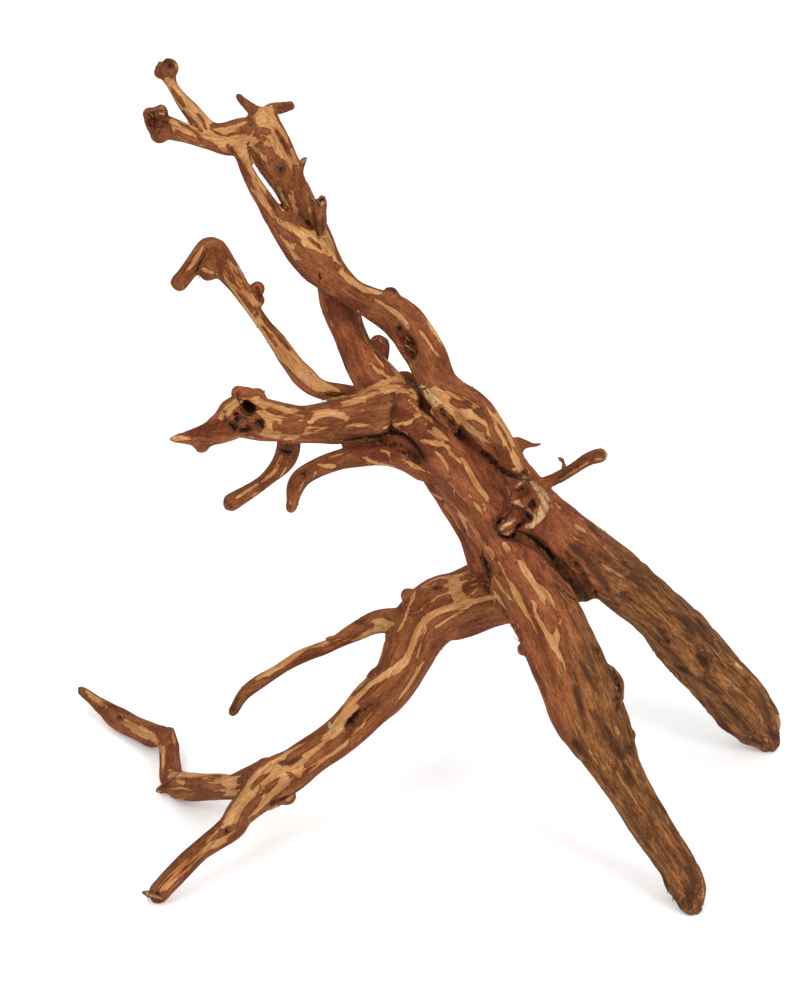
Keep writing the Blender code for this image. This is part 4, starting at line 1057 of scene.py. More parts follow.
def ball(centre, radius):
    """A ball's skin as rings from pole to pole: radius (sin t cos a, sin t sin a, -cos t)."""
    t = (np.arange(BALL_RINGS) + 1)[:, None] * math.pi / (BALL_RINGS + 1)
    a = turns(RING_POINTS)[None, :]
    skin = np.stack([np.sin(t) * np.cos(a), np.sin(t) * np.sin(a), 0 * a - np.cos(t)], axis=-1)
    poles = np.array([(0, 0, -1), (0, 0, 1)])
    return np.array(centre) + radius * np.vstack([skin.reshape(-1, 3), poles]), BALL_RINGS


def egg(place, along, through, half_sizes):
    """A ball stretched along three directions, the last of them into the wood."""
    through = np.array(through, dtype=float) / np.linalg.norm(through)
    along = np.array(along) - through * (through @ np.array(along))
    along = along / np.linalg.norm(along)
    turn = np.array([along, np.cross(through, along), through])
    points, rings = ball((0, 0, 0), 1.0)
    return np.array(place) + (points * np.array(half_sizes)) @ turn, rings


def joined(shells):
    """Points and triangles of several closed shells of rings, one after the other."""
    points, faces = [], []
    first = 0
    for shell, rings in shells:
        points.append(shell)
        faces.append(ring_faces(rings, RING_POINTS, first))
        first += len(shell)
    return np.vstack(points), np.vstack(faces)


def show(name, data):
    """An object with this mesh, lamp or camera, in the scene."""
    obj = bpy.data.objects.new(name, data)
    bpy.context.scene.collection.objects.link(obj)
    return obj


def new_object(name, points, faces):
    """An object at the origin with this mesh, whose points are in the frame of the routes."""
    mesh = bpy.data.meshes.new(name)
    mesh.from_pydata(((points - BOX_MIDDLE) * MM).tolist(), [], faces.tolist())
    mesh.update()
    return show(name, mesh)


def read_points(mesh):
    """A mesh's points as an array, in the frame of the routes."""
    points = np.empty(len(mesh.vertices) * 3)
    mesh.vertices.foreach_get("co", points)
    return points.reshape(-1, 3) / MM + BOX_MIDDLE


def write_points(mesh, points):
    """Set a mesh's points from an array in the frame of the routes."""
    mesh.vertices.foreach_set("co", ((points - BOX_MIDDLE) * MM).ravel())
    mesh.update()


def read_normals(mesh):
    """The directions out of the skin at a mesh's points."""
    normals = np.empty(len(mesh.vertices) * 3)
    mesh.vertices.foreach_get("normal", normals)
    return normals.reshape(-1, 3)


def raise_skin(mesh, points, height):
    """Move a mesh's points out of its skin by a height in mm, from where they are."""
    write_points(mesh, points + read_normals(mesh) * height[:, None])


def apply_modifiers(obj):
    """Replace an object's mesh by the one its modifiers make."""
    bpy.context.view_layer.update()
    evaluated = obj.evaluated_get(bpy.context.evaluated_depsgraph_get())
    mesh = bpy.data.meshes.new_from_object(evaluated)
    old = obj.data
    obj.modifiers.clear()
    obj.data = mesh
    mesh.materials.clear()
    bpy.data.meshes.remove(old)


def remesh(obj):
    """Fuse what overlaps into one even skin."""
    skin = obj.modifiers.new("one_skin", "REMESH")
    skin.mode = "VOXEL"
    skin.voxel_size = SKIN_GRAIN * MM


def random_at(corner, seed):
    """A repeatable random number from 0 to 1 for each corner of a lattice.

    Its three whole numbers are multiplied by large odd numbers, joined, and their bits mixed."""
    x, y, z = corner.T.astype(np.uint32)
    mixed = x * np.uint32(73856093) ^ y * np.uint32(19349663) ^ z * np.uint32(83492791)
    mixed = (mixed ^ np.uint32(seed * 7919)) * np.uint32(2654435761)
    mixed = (mixed ^ (mixed >> np.uint32(15))) * np.uint32(2246822519)
    return (mixed >> np.uint32(8)) / 2.0 ** 24


def noise(places, seed):
    """Smooth random values from -1 to 1: a lattice's random corners blended by 3t² - 2t³."""
    cell = np.floor(places).astype(np.int64)
    t = places - cell
    t = t * t * (3 - 2 * t)
    total = np.zeros(len(places))
    for corner in itertools.product((0, 1), repeat=3):
        share = np.prod(np.where(corner, t, 1 - t), axis=1)
        total += share * random_at(cell + np.array(corner), seed)
    return 2 * total - 1


def grained(places, grain, shift=0.0):
    """Noise drawn out along the third direction, with finer noise of half the height on it."""
    places = places / (grain.width, grain.width, grain.length) + shift
    return sum(noise(places * 2 ** k + OCTAVE_SHIFT * k, grain.seed + k) / 2 ** k
               for k in range(grain.octaves))


def ease(values, start, end):
    """0 before start and 1 after end, with a smooth rise between them."""
    t = np.clip((values - start) / (end - start), 0.0, 1.0)
    return t * t * (3 - 2 * t)


def valley(distance, half_width):
    """1 at the bottom of a rounded valley, falling to nothing past its half width."""
    return np.exp(-(distance / half_width) ** 2)


def near_places(points, places, reach):
    """Which points are no further than reach from the box round some places."""
    low, high = places.min(axis=0) - reach, places.max(axis=0) + reach
    return np.flatnonzero(((points > low) & (points < high)).all(axis=1))


def nearest_spots(points, limb):
    """Where each point is in one limb (across, up, along), and how far out of its skin."""
    spot = np.empty(len(points), dtype=int)
    for start in range(0, len(points), POINTS_AT_ONCE):
        part = points[start:start + POINTS_AT_ONCE]
        far = (limb.places ** 2).sum(axis=1)[None] - 2 * part @ limb.places.T
        spot[start:start + POINTS_AT_ONCE] = far.argmin(axis=1)
    off = points - limb.places[spot]
    across, up, ahead = ((off * way[spot]).sum(axis=1)
                         for way in (limb.sides, limb.ups, limb.tangents))
    gap = np.linalg.norm(off, axis=1) - limb.radii[spot]
    return np.stack([across, up, limb.along[spot] + ahead], axis=1), gap


def laid_on(limbs):
    """The limbs, with the distances along each going on from its parent's at their joint."""
    laid = [limbs[0]]
    for limb in limbs[1:]:
        best = None
        for end in (0, -1):
            for parent in laid:
                gaps = np.linalg.norm(parent.places - limb.places[end], axis=1) - parent.radii
                spot = gaps.argmin()
                if best is None or gaps[spot] < best[0]:
                    best = (gaps[spot], parent.along[spot] - limb.along[end])
        laid.append(limb._replace(along=limb.along + best[1]))
    return laid


def places_in_wood(points, limbs):
    """Where each point is in the wood: across, up and along its limb.

    Where limbs meet, each has a share of exp(-(gap - least gap) / SEAM), where gap is how far the
    point is out of that limb's skin."""
    gaps = np.full((len(limbs), len(points)), FAR_AWAY)
    spots = np.zeros((len(limbs), len(points), 3))
    for index, limb in enumerate(limbs):
        near = near_places(points, limb.places, limb.radii.max() + LIMB_REACH)
        spots[index, near], gaps[index, near] = nearest_spots(points[near], limb)
    shares = np.exp(-(gaps - gaps.min(axis=0)) / SEAM)
    shares /= shares.sum(axis=0)
    return (spots * shares[:, :, None]).sum(axis=0)


def distance_to_line(points, line):
    """Each point's distance to the nearest stretch of a line, and the line's last value there."""
    nearest = np.full(len(points), np.inf)
    width = np.zeros(len(points))
    for start, end in zip(line, line[1:]):
        stretch = (end - start)[:3]
        if not stretch.any():
            continue
        share = np.clip((points - start[:3]) @ stretch / (stretch @ stretch), 0.0, 1.0)
        gap = np.linalg.norm(points - start[:3] - share[:, None] * stretch, axis=1)
        closer = gap < nearest
        nearest[closer] = gap[closer]
        width[closer] = (start[-1] + share * (end[-1] - start[-1]))[closer]
    return nearest, width


def lumps(points):
    """A gentle unevenness of the surface: products of waves in three directions."""
    x, y, z = (points / LUMP_LENGTH).T
    broad = np.sin(x + 0.7 * z) * np.sin(1.3 * y - 0.4 * x) + np.sin(0.9 * z + y) * np.sin(1.1 * x)
    narrow = np.sin(2.7 * x - 1.9 * z) * np.sin(2.3 * y + 1.3 * z)
    return LUMP_HEIGHT * (broad + 0.3 * narrow)


def crease_depth(points):
    """How far the creases sink the surface: a rounded valley on each side of its line."""
    depth = np.zeros(len(points))
    for half_width, deepest, line in CREASES.values():
        gap, _ = distance_to_line(points, np.array(line, dtype=float))
        depth = np.maximum(depth, deepest * valley(gap, half_width))
    return depth


def seen_point(tree, across, down):
    """The point of the skin that shows at a place in the picture, or None beside the wood."""
    ahead, up = np.array(AHEAD), np.array(UPWARDS)
    camera = np.array(LOOK_AT) - ahead * CAMERA_DISTANCE
    sideways = (across - PICTURE_SIZE[0] / 2) * np.array((1.0, 0.0, 0.0))
    ray = ahead * FOCAL_PIXELS + sideways - up * (down - PICTURE_SIZE[1] / 2)
    hit = tree.ray_cast(Vector(camera * MM), Vector(ray).normalized())[0]
    return None if hit is None else np.array(hit) / MM + BOX_MIDDLE


def seen_line(tree, marks):
    """A line of picture places laid on the skin, with a point for every few pixels."""
    marks = np.array(marks, dtype=float)
    line = []
    for start, end in zip(marks, marks[1:]):
        steps = max(1, round(np.linalg.norm((end - start)[:2]) / MARK_STEP))
        for share in np.arange(steps + 1) / steps:
            across, down, width = start + share * (end - start)
            place = seen_point(tree, across, down)
            if place is not None:
                line.append(np.append(place, width))
    return np.array(line)


def marks_on(tree, groups, share=1.0):
    """Every mark in some groups, laid on the skin with a share of its width."""
    lines = [seen_line(tree, marks) for group in groups.values() for marks in group]
    return [line * (1, 1, 1, share) for line in lines if len(line) > 1]


def inside_marks(points, lines, reach=MARK_REACH):
    """How far inside the nearest mark each point is, in mm: below 0 outside, -reach far away."""
    inside = np.full(len(points), -reach)
    for line in lines:
        near = near_places(points, line[:, :3], reach)
        gap, width = distance_to_line(points[near], line)
        inside[near] = np.maximum(inside[near], width - gap)
    return inside


def skin_tree(mesh):
    """A search tree of a mesh's faces, for rays."""
    return BVHTree.FromPolygons([v.co for v in mesh.vertices],
                                [tuple(f.vertices) for f in mesh.polygons])


def knot_rings(points, tree):
    """How near each point is to the middle of the nearest knot, from 1 there to 0 at its rim, and
    the wave of its rings: the cosine of the distance from that middle, over KNOT_RING."""
    share = np.zeros(len(points))
    distance = np.full(len(points), FAR_AWAY)
    for across, down, radius in KNOTS:
        gap = np.linalg.norm(points - seen_point(tree, across, down), axis=1)
        share = np.maximum(share, 1 - gap / radius)
        distance = np.minimum(distance, gap)
    return share, np.cos(2 * math.pi * distance / KNOT_RING)


def roughness_of(points, tree):
    """How fibrous the wood is at each point, and how far it lies in a rot mark, some of which are
    shadowed hollows, each from 0 to 1 or so.
    """
    torn = ease(inside_marks(points, marks_on(tree, TORN_WOOD)), -1.0, 0.5)
    rot_and_shade = ease(inside_marks(points, marks_on(tree, ROT_AND_SHADE)), -1.3, 0.6)
    legs = ease(points[:, 0], *FIBROUS_ACROSS) * ease(points[:, 2], *FIBROUS_UP)
    return legs + torn + rot_and_shade, rot_and_shade


def furrows(wood):
    """Narrow valleys along the grain, from 0 to 1.6, where a drawn-out noise passes 0."""
    return (valley(grained(wood, WIDE_FURROWS), 0.22)
            + 0.6 * valley(grained(wood, FINE_FURROWS), 0.25))


def grain_relief(wood, points, tree):
    """Height of the grain in mm: long flutes, furrows, pits, lumps in the rot marks, drawn
    cracks, and knots as low domes with rings round them."""
    fibrous, rot_and_shade = roughness_of(points, tree)
    rough = SMOOTH_GRAIN + FIBROUS_GRAIN * fibrous
    flutes = FLUTE_HEIGHT * grained(wood, FLUTES)
    pits = ease(grained(wood, PITS), 0.50, 0.85)
    height = flutes + rough * (BETWEEN_FURROWS - FURROW_DEPTH * furrows(wood) - PIT_DEPTH * pits)
    height += rot_and_shade * (ROT_HEIGHT * grained(points, ROT_LUMPS) - ROT_DEPTH)
    for line in marks_on(tree, CRACKS, CRACK_SHARE):
        near = near_places(points, line[:, :3], CRACK_REACH)
        gap, width = distance_to_line(points[near], line)
        height[near] -= CRACK_DEPTH * width * valley(gap, width + CRACK_RIM)
    share, wave = knot_rings(points, tree)
    dome = KNOT_DOME * share + KNOT_RING_HEIGHT * wave * ease(share, 0.0, 0.3)
    return height + np.where(share > 0, dome, 0.0)


def make_skin(limbs):
    """The whole root as one fine skin: tubes fused, smoothed, given lumps and hollowed out."""
    ridges = [routed(knots) for knots in RIDGES.values()]
    shells = [(tube(limb, phase), len(limb.places)) for phase, limb in enumerate(limbs + ridges)]
    shells += [ball((x, y, z), radius) for x, y, z, radius in BURLS]
    wood = new_object("weathered_root", *joined(shells))
    remesh(wood)
    soften = wood.modifiers.new("soften", "SMOOTH")
    soften.factor = 0.5
    soften.iterations = SKIN_SMOOTHING
    apply_modifiers(wood)
    points = read_points(wood.data)
    raise_skin(wood.data, points, SMOOTHING_LOSS + lumps(points) - crease_depth(points))

    eggs = new_object("hollows", *joined([egg(*hollow) for hollow in HOLLOWS.values()]))
    cut = wood.modifiers.new("hollows", "BOOLEAN")
    cut.operation = "DIFFERENCE"
    cut.solver = "MANIFOLD"
    cut.object = eggs
    apply_modifiers(wood)
    bpy.data.objects.remove(eggs, do_unlink=True)
    remesh(wood)
    apply_modifiers(wood)
    return wood


def within_box(points):
    """Points kept inside the box of the solid."""
    low, high = (np.array(corner) / MM + BOX_MIDDLE for corner in CAD_BOX)
    return np.clip(points, low, high)


def press_grain(wood, limbs):
    """Press the grain into the skin, thin out its faces and keep it in the solid's box."""
    points = read_points(wood.data)
    height = grain_relief(places_in_wood(points, limbs), points, skin_tree(wood.data))
    raise_skin(wood.data, points, height)
    fewer = wood.modifiers.new("fewer_faces", "DECIMATE")
    fewer.ratio = SKIN_TRIANGLES / sum(len(face.vertices) - 2 for face in wood.data.polygons)
    apply_modifiers(wood)
    write_points(wood.data, within_box(read_points(wood.data)))


def keep(mesh, name, values):
    """Store a number or a vector for each point of a mesh, for its material to read."""
    kind, field = ("FLOAT", "value") if values.ndim == 1 else ("FLOAT_VECTOR", "vector")
    layer = mesh.attributes.new(name, kind, "POINT")
    layer.data.foreach_set(field, np.ascontiguousarray(values, dtype=np.float32).ravel())


def bare_edge(points, places, shown, brown, marked):
    """How far inside a bare patch each point is, in mm: below 0 on bark.

    The marks say it for the side that the picture shows, with ragged edges.  Round the back a
    noise drawn out along the grain does, with more bare wood on the limbs that are bare in the
    picture and less on the brown legs."""
    wander = 0.25 * grained(places, WANDER)
    chance = grained(places, PATCHES, wander[:, None])
    ground = marked(BARE_GROUND, BARE_LIMB_REACH)
    streaks = marked(PALE_STREAKS)
    near_ground = np.exp(-np.maximum(-ground, 0.0) / 9.0)
    near_streak = np.exp(-np.maximum(-streaks, 0.0) / 3.0) * (1 - near_ground)
    cover = 0.16 + 0.20 * brown + shown * 0.42 - 0.42 * near_ground * (1 - 0.85 * shown)
    patch = 4.5 * (chance - cover) - 2.5 * near_streak * shown
    thinned = np.minimum(ground + 1.8 * chance, HALF_BARE + 0.8 * chance)
    patch = np.maximum(patch, np.where(shown > 0.1, thinned, -EDGE_DEPTH))
    patch = np.maximum(patch, streaks)
    return np.minimum(patch, -marked(BARK_ISLANDS))


def stain_edge(points, places, shown, brown, marked):
    """How far inside a dark stain each point is, in mm: the marks, and for the brown legs a noise
    drawn out along the grain, with more stains where the wood lay low and to the front."""
    low_in_front = ease(points[:, 2] + 0.9 * points[:, 1], 60, -60)
    damp = np.maximum(low_in_front, 0.8 * ease(points[:, 2], 55, 8))
    chance = grained(places, DISCOLOURED)
    stain = 3.5 * (chance - 0.30 - 0.30 * shown + 0.30 * damp) - 2.5 * (1 - brown)
    return np.maximum(stain, marked(STAINS))


def stain_skin(wood, limbs):
    """Store what each point of the skin looks like: bark or bare wood, stained, dark red or torn,
    and where shade is painted in cracks, furrows, crevices and shadowed hollows.
    """
    mesh = wood.data
    points = read_points(mesh)
    places = places_in_wood(points, limbs)
    tree = skin_tree(mesh)

    def marked(groups, reach=MARK_REACH, share=1.0):
        return inside_marks(points, marks_on(tree, groups, share), reach)

    shown = ease(-(read_normals(mesh) @ AHEAD), -0.2, 0.3)
    brown = ease(points[:, 0], *BROWN_ACROSS) * ease(points[:, 2], *BROWN_UP)
    fibrous, _ = roughness_of(points, tree)
    share, wave = knot_rings(points, tree)
    rings = np.where(share > 0, 0.5 - 0.5 * wave, 0.0)
    edges = {
        "bare": bare_edge(points, places, shown, brown, marked),
        "stain": stain_edge(points, places, shown, brown, marked),
        # dark red bark, and painted shade under the crown
        "red": marked(RED_BARK_AND_SHADE),
        "torn": marked(TORN_WOOD),
        # rot, and painted shade in the hollows beside the strand
        "rot_and_shade": marked(ROT_AND_SHADE),
        "crack_shade": marked(CRACKS, share=CRACK_SHARE),
    # cracks, where painted shade is laid
    }
    shares = {
        "brown": brown,
        # painted shade in the furrows of the grain
        "furrow_shade": np.clip(furrows(places), 0.0, 1.0),
        "thin": ease(marked(THIN_BARK, THIN_BARK_REACH), -6.0, 2.0),
        "fibrous": np.clip(fibrous, 0.0, 1.0),
        "knot": rings * ease(share, 0.0, 0.2) + ease(share, 0.62, 0.85),
        # painted shade in the creases between limbs
        "crevice_shade": np.clip(crease_depth(points) / 2.6, 0.0, 1.0),
    }
    keep(mesh, "wood_place", places)
    for name, inside in edges.items():
        keep(mesh, name, np.clip(inside, -EDGE_DEPTH, EDGE_DEPTH))
    for name, amount in shares.items():
        keep(mesh, name, amount)


def grain_at(points, limbs):
    """The direction of the grain at each point, that of the nearest limb."""
    best = np.full(len(points), np.inf)
    ahead = np.zeros((len(points), 3))
    for limb in limbs:
        far = np.linalg.norm(points[:, None] - limb.places[None], axis=2) - limb.radii[None]
        spot = far.argmin(axis=1)
        gap = far[np.arange(len(points)), spot]
        closer = gap < best
        best[closer] = gap[closer]
        ahead[closer] = limb.tangents[spot][closer]
    return ahead


def fibre_roots(wood, limbs, chance):
    """Where fibres start: at the named places of the picture, and strewn along torn bark edges."""
    points = read_points(wood.data)
    normals = read_normals(wood.data)
    tree = skin_tree(wood.data)
    bare = np.empty(len(points), dtype=np.float32)
    wood.data.attributes["bare"].data.foreach_get("value", bare)
    spots, lengths = [], []
    for across, down, count, length in FRINGES:
        offsets = chance.normal(0, FIBRE_SCATTER, (count, 2))
        for place in [seen_point(tree, across + a, down + b) for a, b in offsets]:
            if place is not None:
                spots.append(((points - place) ** 2).sum(axis=1).argmin())
                lengths.append(length)
    edges = np.flatnonzero(np.abs(bare) < STREWN_NEAR)
    strewn = chance.choice(edges, STREWN_FIBRES, replace=False)
    spots = np.concatenate([np.array(spots, dtype=int), strewn])
    lengths = np.concatenate([lengths, np.full(STREWN_FIBRES, STREWN_LENGTH)])
    return points[spots], normals[spots], grain_at(points[spots], limbs), lengths


def torn_fibres(wood, limbs):
    """Torn fibres: each a thin tube whose middle runs root + length * (t * lift + t * t * bend) for
    t from 0 to 1, and whose radius is THICK_FIBRE * (1 - FIBRE_TAPER * t), closed with a point at
    each end."""
    chance = np.random.default_rng(FIBRE_SEED)
    roots, normals, grain, lengths = fibre_roots(wood, limbs, chance)
    count = len(roots)
    way = np.where(chance.random(count) < 0.6, 1.0, -1.0)[:, None]
    lift = (normals * chance.uniform(0.25, 0.8, (count, 1))
            + way * grain * chance.uniform(0.5, 1.0, (count, 1)))
    lift /= np.linalg.norm(lift, axis=1)[:, None]
    bend = chance.normal(0, 0.35, (count, 3))
    lengths = (lengths * chance.uniform(0.6, 1.3, count))[:, None, None]
    # The middle starts a little inside the skin, so that the fibre is rooted in it
    t = np.linspace(-0.12, 1.0, FIBRE_RINGS)[None, :, None]
    middle = roots[:, None] + lengths * (t * lift[:, None] + t * t * bend[:, None])
    side = np.cross(lift, (0.3, 0.5, 0.8))
    side /= np.linalg.norm(side, axis=1)[:, None]
    over = np.cross(lift, side)
    turn = turns(FIBRE_SIDES)
    out = (np.cos(turn)[:, None] * side[:, None] + np.sin(turn)[:, None] * over[:, None])[:, None]
    thick = THICK_FIBRE * chance.uniform(0.5, 1.3, count)[:, None]
    width = (thick * (1 - FIBRE_TAPER * t[0, :, 0]))[:, :, None, None]
    rings = middle[:, :, None] + width * out
    tips = middle[:, [0, -1]]
    points = np.concatenate([rings.reshape(count, -1, 3), tips], axis=1).reshape(-1, 3)
    faces = ring_faces(FIBRE_RINGS, FIBRE_SIDES)
    each = FIBRE_RINGS * FIBRE_SIDES + 2
    all_faces = (faces[None] + each * np.arange(count)[:, None, None]).reshape(-1, faces.shape[1])
    return within_box(points), all_faces


def linear(code):
    """An sRGB hex colour as linear red, green and blue, with alpha 1."""
    values = [int(code[i:i + 2], 16) / 255 for i in (0, 2, 4)]
    return tuple(v / 12.92 if v <= 0.04045 else ((v + 0.055) / 1.055) ** 2.4
                 for v in values) + (1.0,)


def fill_sockets(tree, made, sockets):
    """Give a node's sockets their values: constants, or links from other nodes' outputs."""
    for name, value in sockets.items():
        if isinstance(value, bpy.types.NodeSocket):
            tree.links.new(value, made.inputs[name])
        else:
            made.inputs[name].default_value = value


def node(tree, kind, sockets=None, **settings):
    """Add a node and return its outputs: settings are its own, sockets are values or links."""
    made = tree.nodes.new("ShaderNode" + kind)
    for name, value in settings.items():
        setattr(made, name, value)
    fill_sockets(tree, made, sockets or {})
    return made.outputs


def new_material(name):
    """A material with its node tree and its shader."""
    material = bpy.data.materials.new(name)
    material.use_nodes = True
    return material, material.node_tree, material.node_tree.nodes["Principled BSDF"]


def root_material():
    """Dry driftwood root: matte inner bark over smooth bare wood, worn by hand and water.

    Bark is a dull reddish brown with long fibres and dark specks; bare wood is pale, tan and
    slightly silky, with an orange rim where the bark has thinned before it went.  Sizes of its
    patterns are in millimetres; the finest are drawn as coarse as they need to be to show."""
    material, tree, shader = new_material("dry_root_bark_worn_to_bare_wood")
    place = node(tree, "Attribute", attribute_name="wood_place")["Vector"]
    here = node(tree, "TexCoord")["Object"]
    bare, stain, brown, thin, red, torn, rot_and_shade, crack_shade, knot, crevice_shade, fibrous, furrow_shade = (
        node(tree, "Attribute", attribute_name=name)["Fac"]
        for name in ("bare", "stain", "brown", "thin", "red", "torn", "rot_and_shade", "crack_shade", "knot",
                     "crevice_shade", "fibrous", "furrow_shade"))

    def streaks(across, along, detail=2.0):
        """Noise drawn out along the grain, by its width and length."""
        scale = (1 / across, 1 / across, 1 / along)
        scaled = node(tree, "Mapping", {"Vector": place, "Scale": scale})["Vector"]
        return node(tree, "TexNoise", {"Vector": scaled, "Scale": 1.0, "Detail": detail})["Fac"]

    def grains(size, detail=2.0):
        """Noise that is as long as it is wide, by its size."""
        sockets = {"Vector": here, "Scale": 1 / (size * MM), "Detail": detail}
        return node(tree, "TexNoise", sockets)["Fac"]

    def spread(value, low, high, start=0.0, end=1.0):
        """Map low to high onto start to end."""
        names = ("Value", "From Min", "From Max", "To Min", "To Max")
        sockets = dict(zip(names, (value, low, high, start, end)))
        return node(tree, "MapRange", sockets)["Result"]

    def folded(operation, first, *others):
        """A value worked on by one operation with each of the others in turn."""
        for other in others:
            first = node(tree, "Math", {0: first, 1: other}, operation=operation)["Value"]
        return first

    def product(*factors):
        """The product of some values."""
        return folded("MULTIPLY", *factors)

    def away_from(middle, value):
        """How far a value is from a middle."""
        off = folded("SUBTRACT", value, middle)
        return node(tree, "Math", {0: off}, operation="ABSOLUTE")["Value"]

    def coated(colour, *coats):
        """A colour with others laid over it in turn, each by its share from 0 to 1."""
        for share, coat in coats:
            sockets = {0: share}
            for key, value in ((6, colour), (7, coat)):
                sockets[key] = linear(value) if isinstance(value, str) else value
            colour = node(tree, "Mix", sockets, data_type="RGBA")[2]
        return colour

    def between(share, shades):
        """A shade between a dark and a light one."""
        return coated(shades[0], (share, shades[1]))

    # Threads and fibres of the wood, clouds and flecks of the bark, its grit, and splits
    fibre = streaks(1.0, 15.0, 3.0)
    thread = streaks(0.55, 8.0)
    cloud = streaks(6.0, 18.0, 3.0)
    fleck = streaks(1.1, 3.4)
    blotch = streaks(3.2, 9.0)
    grit = grains(0.9)
    crumb = grains(2.2, 3.0)
    split = away_from(0.5, streaks(2.6, 34.0))
    ragged = spread(fibre, 0.3, 0.7, -0.40, 0.40)
    stringy = spread(fibrous, 0.0, 1.0, 0.35, 1.0)

    def uneven(inside, times=1.0):
        """How far a point is inside a mark, so changed by the fibres that its edge is ragged."""
        return folded("ADD", inside, product(ragged, times))

    # From bark over its thin orange rim to bare wood
    edge = uneven(bare)
    rim = spread(edge, -0.20, 0.05)
    worn = spread(edge, 0.05, 0.40)

    clouded = spread(cloud, 0.41, 0.59)
    earth = coated(
        between(spread(cloud, 0.40, 0.60), EARTHY_BARK),
        (spread(fibre, 0.42, 0.62, 0.0, 0.8), "ab773f"))
    bark = coated(
        between(clouded, RED_BROWN_BARK),
        (thin, between(clouded, ORANGE_BROWN_BARK)),
        (brown, earth),
        (product(spread(fibre, 0.42, 0.66, 0.0, 0.7), stringy), "ad6c3e"),
        # dark red bark, and painted shade under the crown in the same colour
        (spread(uneven(red), -0.8, 1.4, 0.0, 0.75), "5a2210"),
        (spread(blotch, 0.54, 0.60, 0.0, 0.38), "4f2110"),
        (spread(fleck, 0.55, 0.65, 0.0, 0.36), "42200f"),
        (spread(fleck, 0.44, 0.34, 0.0, 0.16), "b5743f"),
        (spread(grit, 0.50, 0.64, 0.0, 0.20), "451d0c"),
        (spread(grit, 0.46, 0.34, 0.0, 0.10), "c48450"))
    pale = coated(
        between(spread(cloud, 0.38, 0.62), BARE_WOOD),
        (product(brown, 0.65), "a8753f"),
        (spread(fibre, 0.50, 0.68, 0.0, 0.55), "a06432"),
        (spread(fleck, 0.56, 0.66, 0.0, 0.42), "7d4822"),
        (spread(thread, 0.44, 0.34, 0.0, 0.45), "dcb07a"))
    frayed = between(spread(thread, 0.36, 0.62), FRAYED_WOOD)
    rot_and_shade_colour = between(spread(crumb, 0.36, 0.64), ROTTEN_WOOD_AND_SHADE)
    lines = product(spread(split, 0.0, 0.010, 0.8, 0.0), stringy)
    # Over both: the patches' dark outlines, partly painted shadow of the bark's edge, torn wood,
    # knots, stains, dark threads and splits of the fibrous legs, painted shade in their furrows,
    # rot with painted shade in the hollows by the strand, painted shade in the cracks and in the
    # crevices between limbs
    colour = coated(
        coated(bark, (rim, coated(bark, (0.5, "b2642c"))), (worn, pale)),
        # the dark outline round each bare patch: its own dark edge, and partly painted shadow of
        # the bark's step
        (spread(away_from(-0.10, edge), 0.0, 0.22, 0.80, 0.0), "50240d"),
        (spread(uneven(torn), -0.3, 0.3, 0.0, 0.85), frayed),
        (product(knot, 0.65), "371b0f"),
        (spread(uneven(stain, 2.8), -0.5, 0.9, 0.0, 0.80), "3a2214"),
        (product(spread(thread, 0.56, 0.68, 0.0, 0.60), stringy), "45200f"),
        (lines, "35190c"),
        # painted shade in the furrows of the fibrous legs
        (product(furrow_shade, stringy, 0.50), "30170a"),
        # rot, black and brown, and the same colours as painted shade in the hollows beside the
        # strand
        (spread(uneven(rot_and_shade, 1.4), -0.5, 0.5, 0.0, 0.85), rot_and_shade_colour),
        # painted shade, near black, in the cracks
        (spread(uneven(crack_shade, 0.5), -0.35, 0.25, 0.0, 0.92), "170b06"),
        # painted shade in the crevices between limbs
        (product(crevice_shade, 0.8), "1a0d07"))

    height = folded(
        "ADD", product(fibre, stringy), product(thread, 0.35), product(grit, 0.40),
        product(lines, -0.5), product(worn, -0.35))
    fill_sockets(tree, shader, {
        "Base Color": colour,
        "Normal": node(tree, "Bump", {"Height": height, "Distance": MM, "Strength": 1.0})["Normal"],
        "Roughness": spread(worn, 0.0, 1.0, 0.85, 0.68),
        "IOR": 1.5,
        "Specular IOR Level": 0.16,
        "Metallic": 0.0,
    })
    return material


def fibre_material():
    """Torn root fibres: dry and matt, from dark brown bark threads to tan threads of the wood."""
    material, tree, shader = new_material("dry_torn_fibres")
    place = node(tree, "TexCoord")["Object"]
    # Neighbouring fibres, over about 9 mm, are of one shade
    tone = node(tree, "TexNoise", {"Vector": place, "Scale": 1 / (9 * MM), "Detail": 1.0})["Fac"]
    share = node(tree, "MapRange", {"Value": tone, "From Min": 0.42, "From Max": 0.60})["Result"]
    sockets = {0: share, 6: linear(LOOSE_FIBRE[0]), 7: linear(LOOSE_FIBRE[1])}
    fill_sockets(tree, shader, {
        "Base Color": node(tree, "Mix", sockets, data_type="RGBA")[2],
        "Roughness": 0.8,
        "Specular IOR Level": 0.3,
    })
    return material


def make_floor():
    """A pale, matt paper floor that fills the view, lit a little from below as on a light table."""
    corners = [(x * FLOOR_HALF_SIDE, y * FLOOR_HALF_SIDE, 0)
               for x, y in ((-1, -1), (1, -1), (1, 1), (-1, 1))]
    floor = new_object("floor", np.array(corners), np.array([(0, 1, 2, 3)]))
    paper, tree, shader = new_material("white_paper_floor")
    fill_sockets(tree, shader, {
        "Base Color": linear(PAPER),
        "Roughness": 0.9,
        "Emission Color": linear(WHITE),
        "Emission Strength": FLOOR_GLOW,
    })
    floor.data.materials.append(paper)


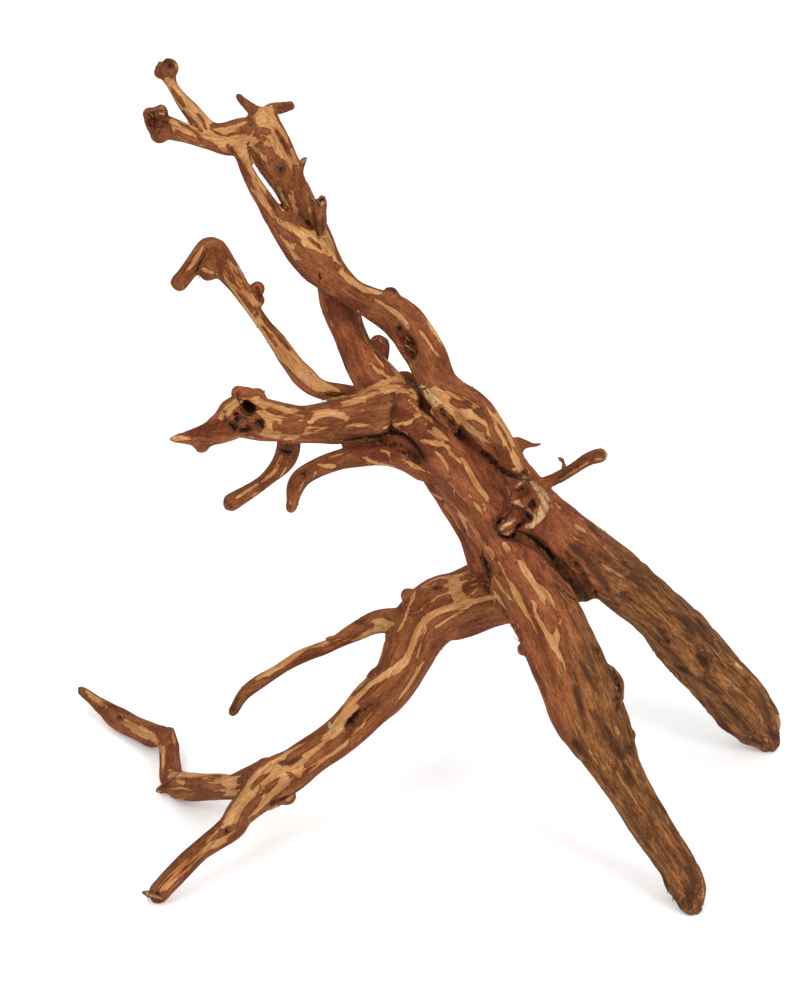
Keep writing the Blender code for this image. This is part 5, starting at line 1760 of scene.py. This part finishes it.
def make_camera():
    """The photograph's view, as a long lens that looks a little down."""
    data = bpy.data.cameras.new("camera")
    data.sensor_fit = "VERTICAL"
    data.sensor_height = SENSOR_HEIGHT
    data.lens = FOCAL_PIXELS * data.sensor_height / PICTURE_SIZE[1]
    camera = show("camera", data)
    camera.location = (Vector(LOOK_AT) - Vector(AHEAD) * CAMERA_DISTANCE) * MM
    camera.rotation_euler = (math.pi / 2 - CAMERA_TILT, 0.0, 0.0)
    bpy.context.scene.camera = camera


def soft_light(name, place, size, watts):
    """A square soft light that faces the middle of the root."""
    data = bpy.data.lights.new(name, "AREA")
    data.size = size * MM
    data.energy = watts
    lamp = show(name, data)
    lamp.location = Vector(place) * MM
    to_root = Vector(LOOK_AT) - Vector(place)
    lamp.rotation_euler = to_root.to_track_quat("-Z", "Y").to_euler()


def light_studio():
    """A white tent, brightest overhead, with a soft light high on each side."""
    world = bpy.data.worlds.new("white_tent")
    world.use_nodes = True
    tree = world.node_tree
    direction = node(tree, "TexCoord")["Generated"]
    height = node(tree, "SeparateXYZ", {"Vector": direction})["Z"]
    sockets = {"Value": height, "To Min": SKY_LEVEL, "To Max": SKY_OVERHEAD}
    glow = node(tree, "MapRange", sockets)["Result"]
    fill_sockets(tree, tree.nodes["Background"], {"Strength": glow, "Color": linear(WHITE)})
    bpy.context.scene.world = world
    bpy.context.scene.view_settings.view_transform = "Standard"
    for light in SOFT_LIGHTS:
        soft_light(*light)


def finished(piece, material):
    """Give a piece of the root its material and smooth faces, and tie it to the one node."""
    piece.data.materials.append(material)
    piece.data.polygons.foreach_set("use_smooth", np.ones(len(piece.data.polygons), dtype=bool))
    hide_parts("driftwood")
    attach(piece, "root")


make_camera()
limbs = [routed(knots) for knots in {**THICK_LIMBS, **ARMS}.values()]
root = make_skin(limbs)
limbs = laid_on(limbs)
press_grain(root, limbs)
stain_skin(root, limbs)
finished(root, root_material())
fibres = new_object("torn_fibres", *torn_fibres(root, limbs))
finished(fibres, fibre_material())
make_floor()
light_studio()
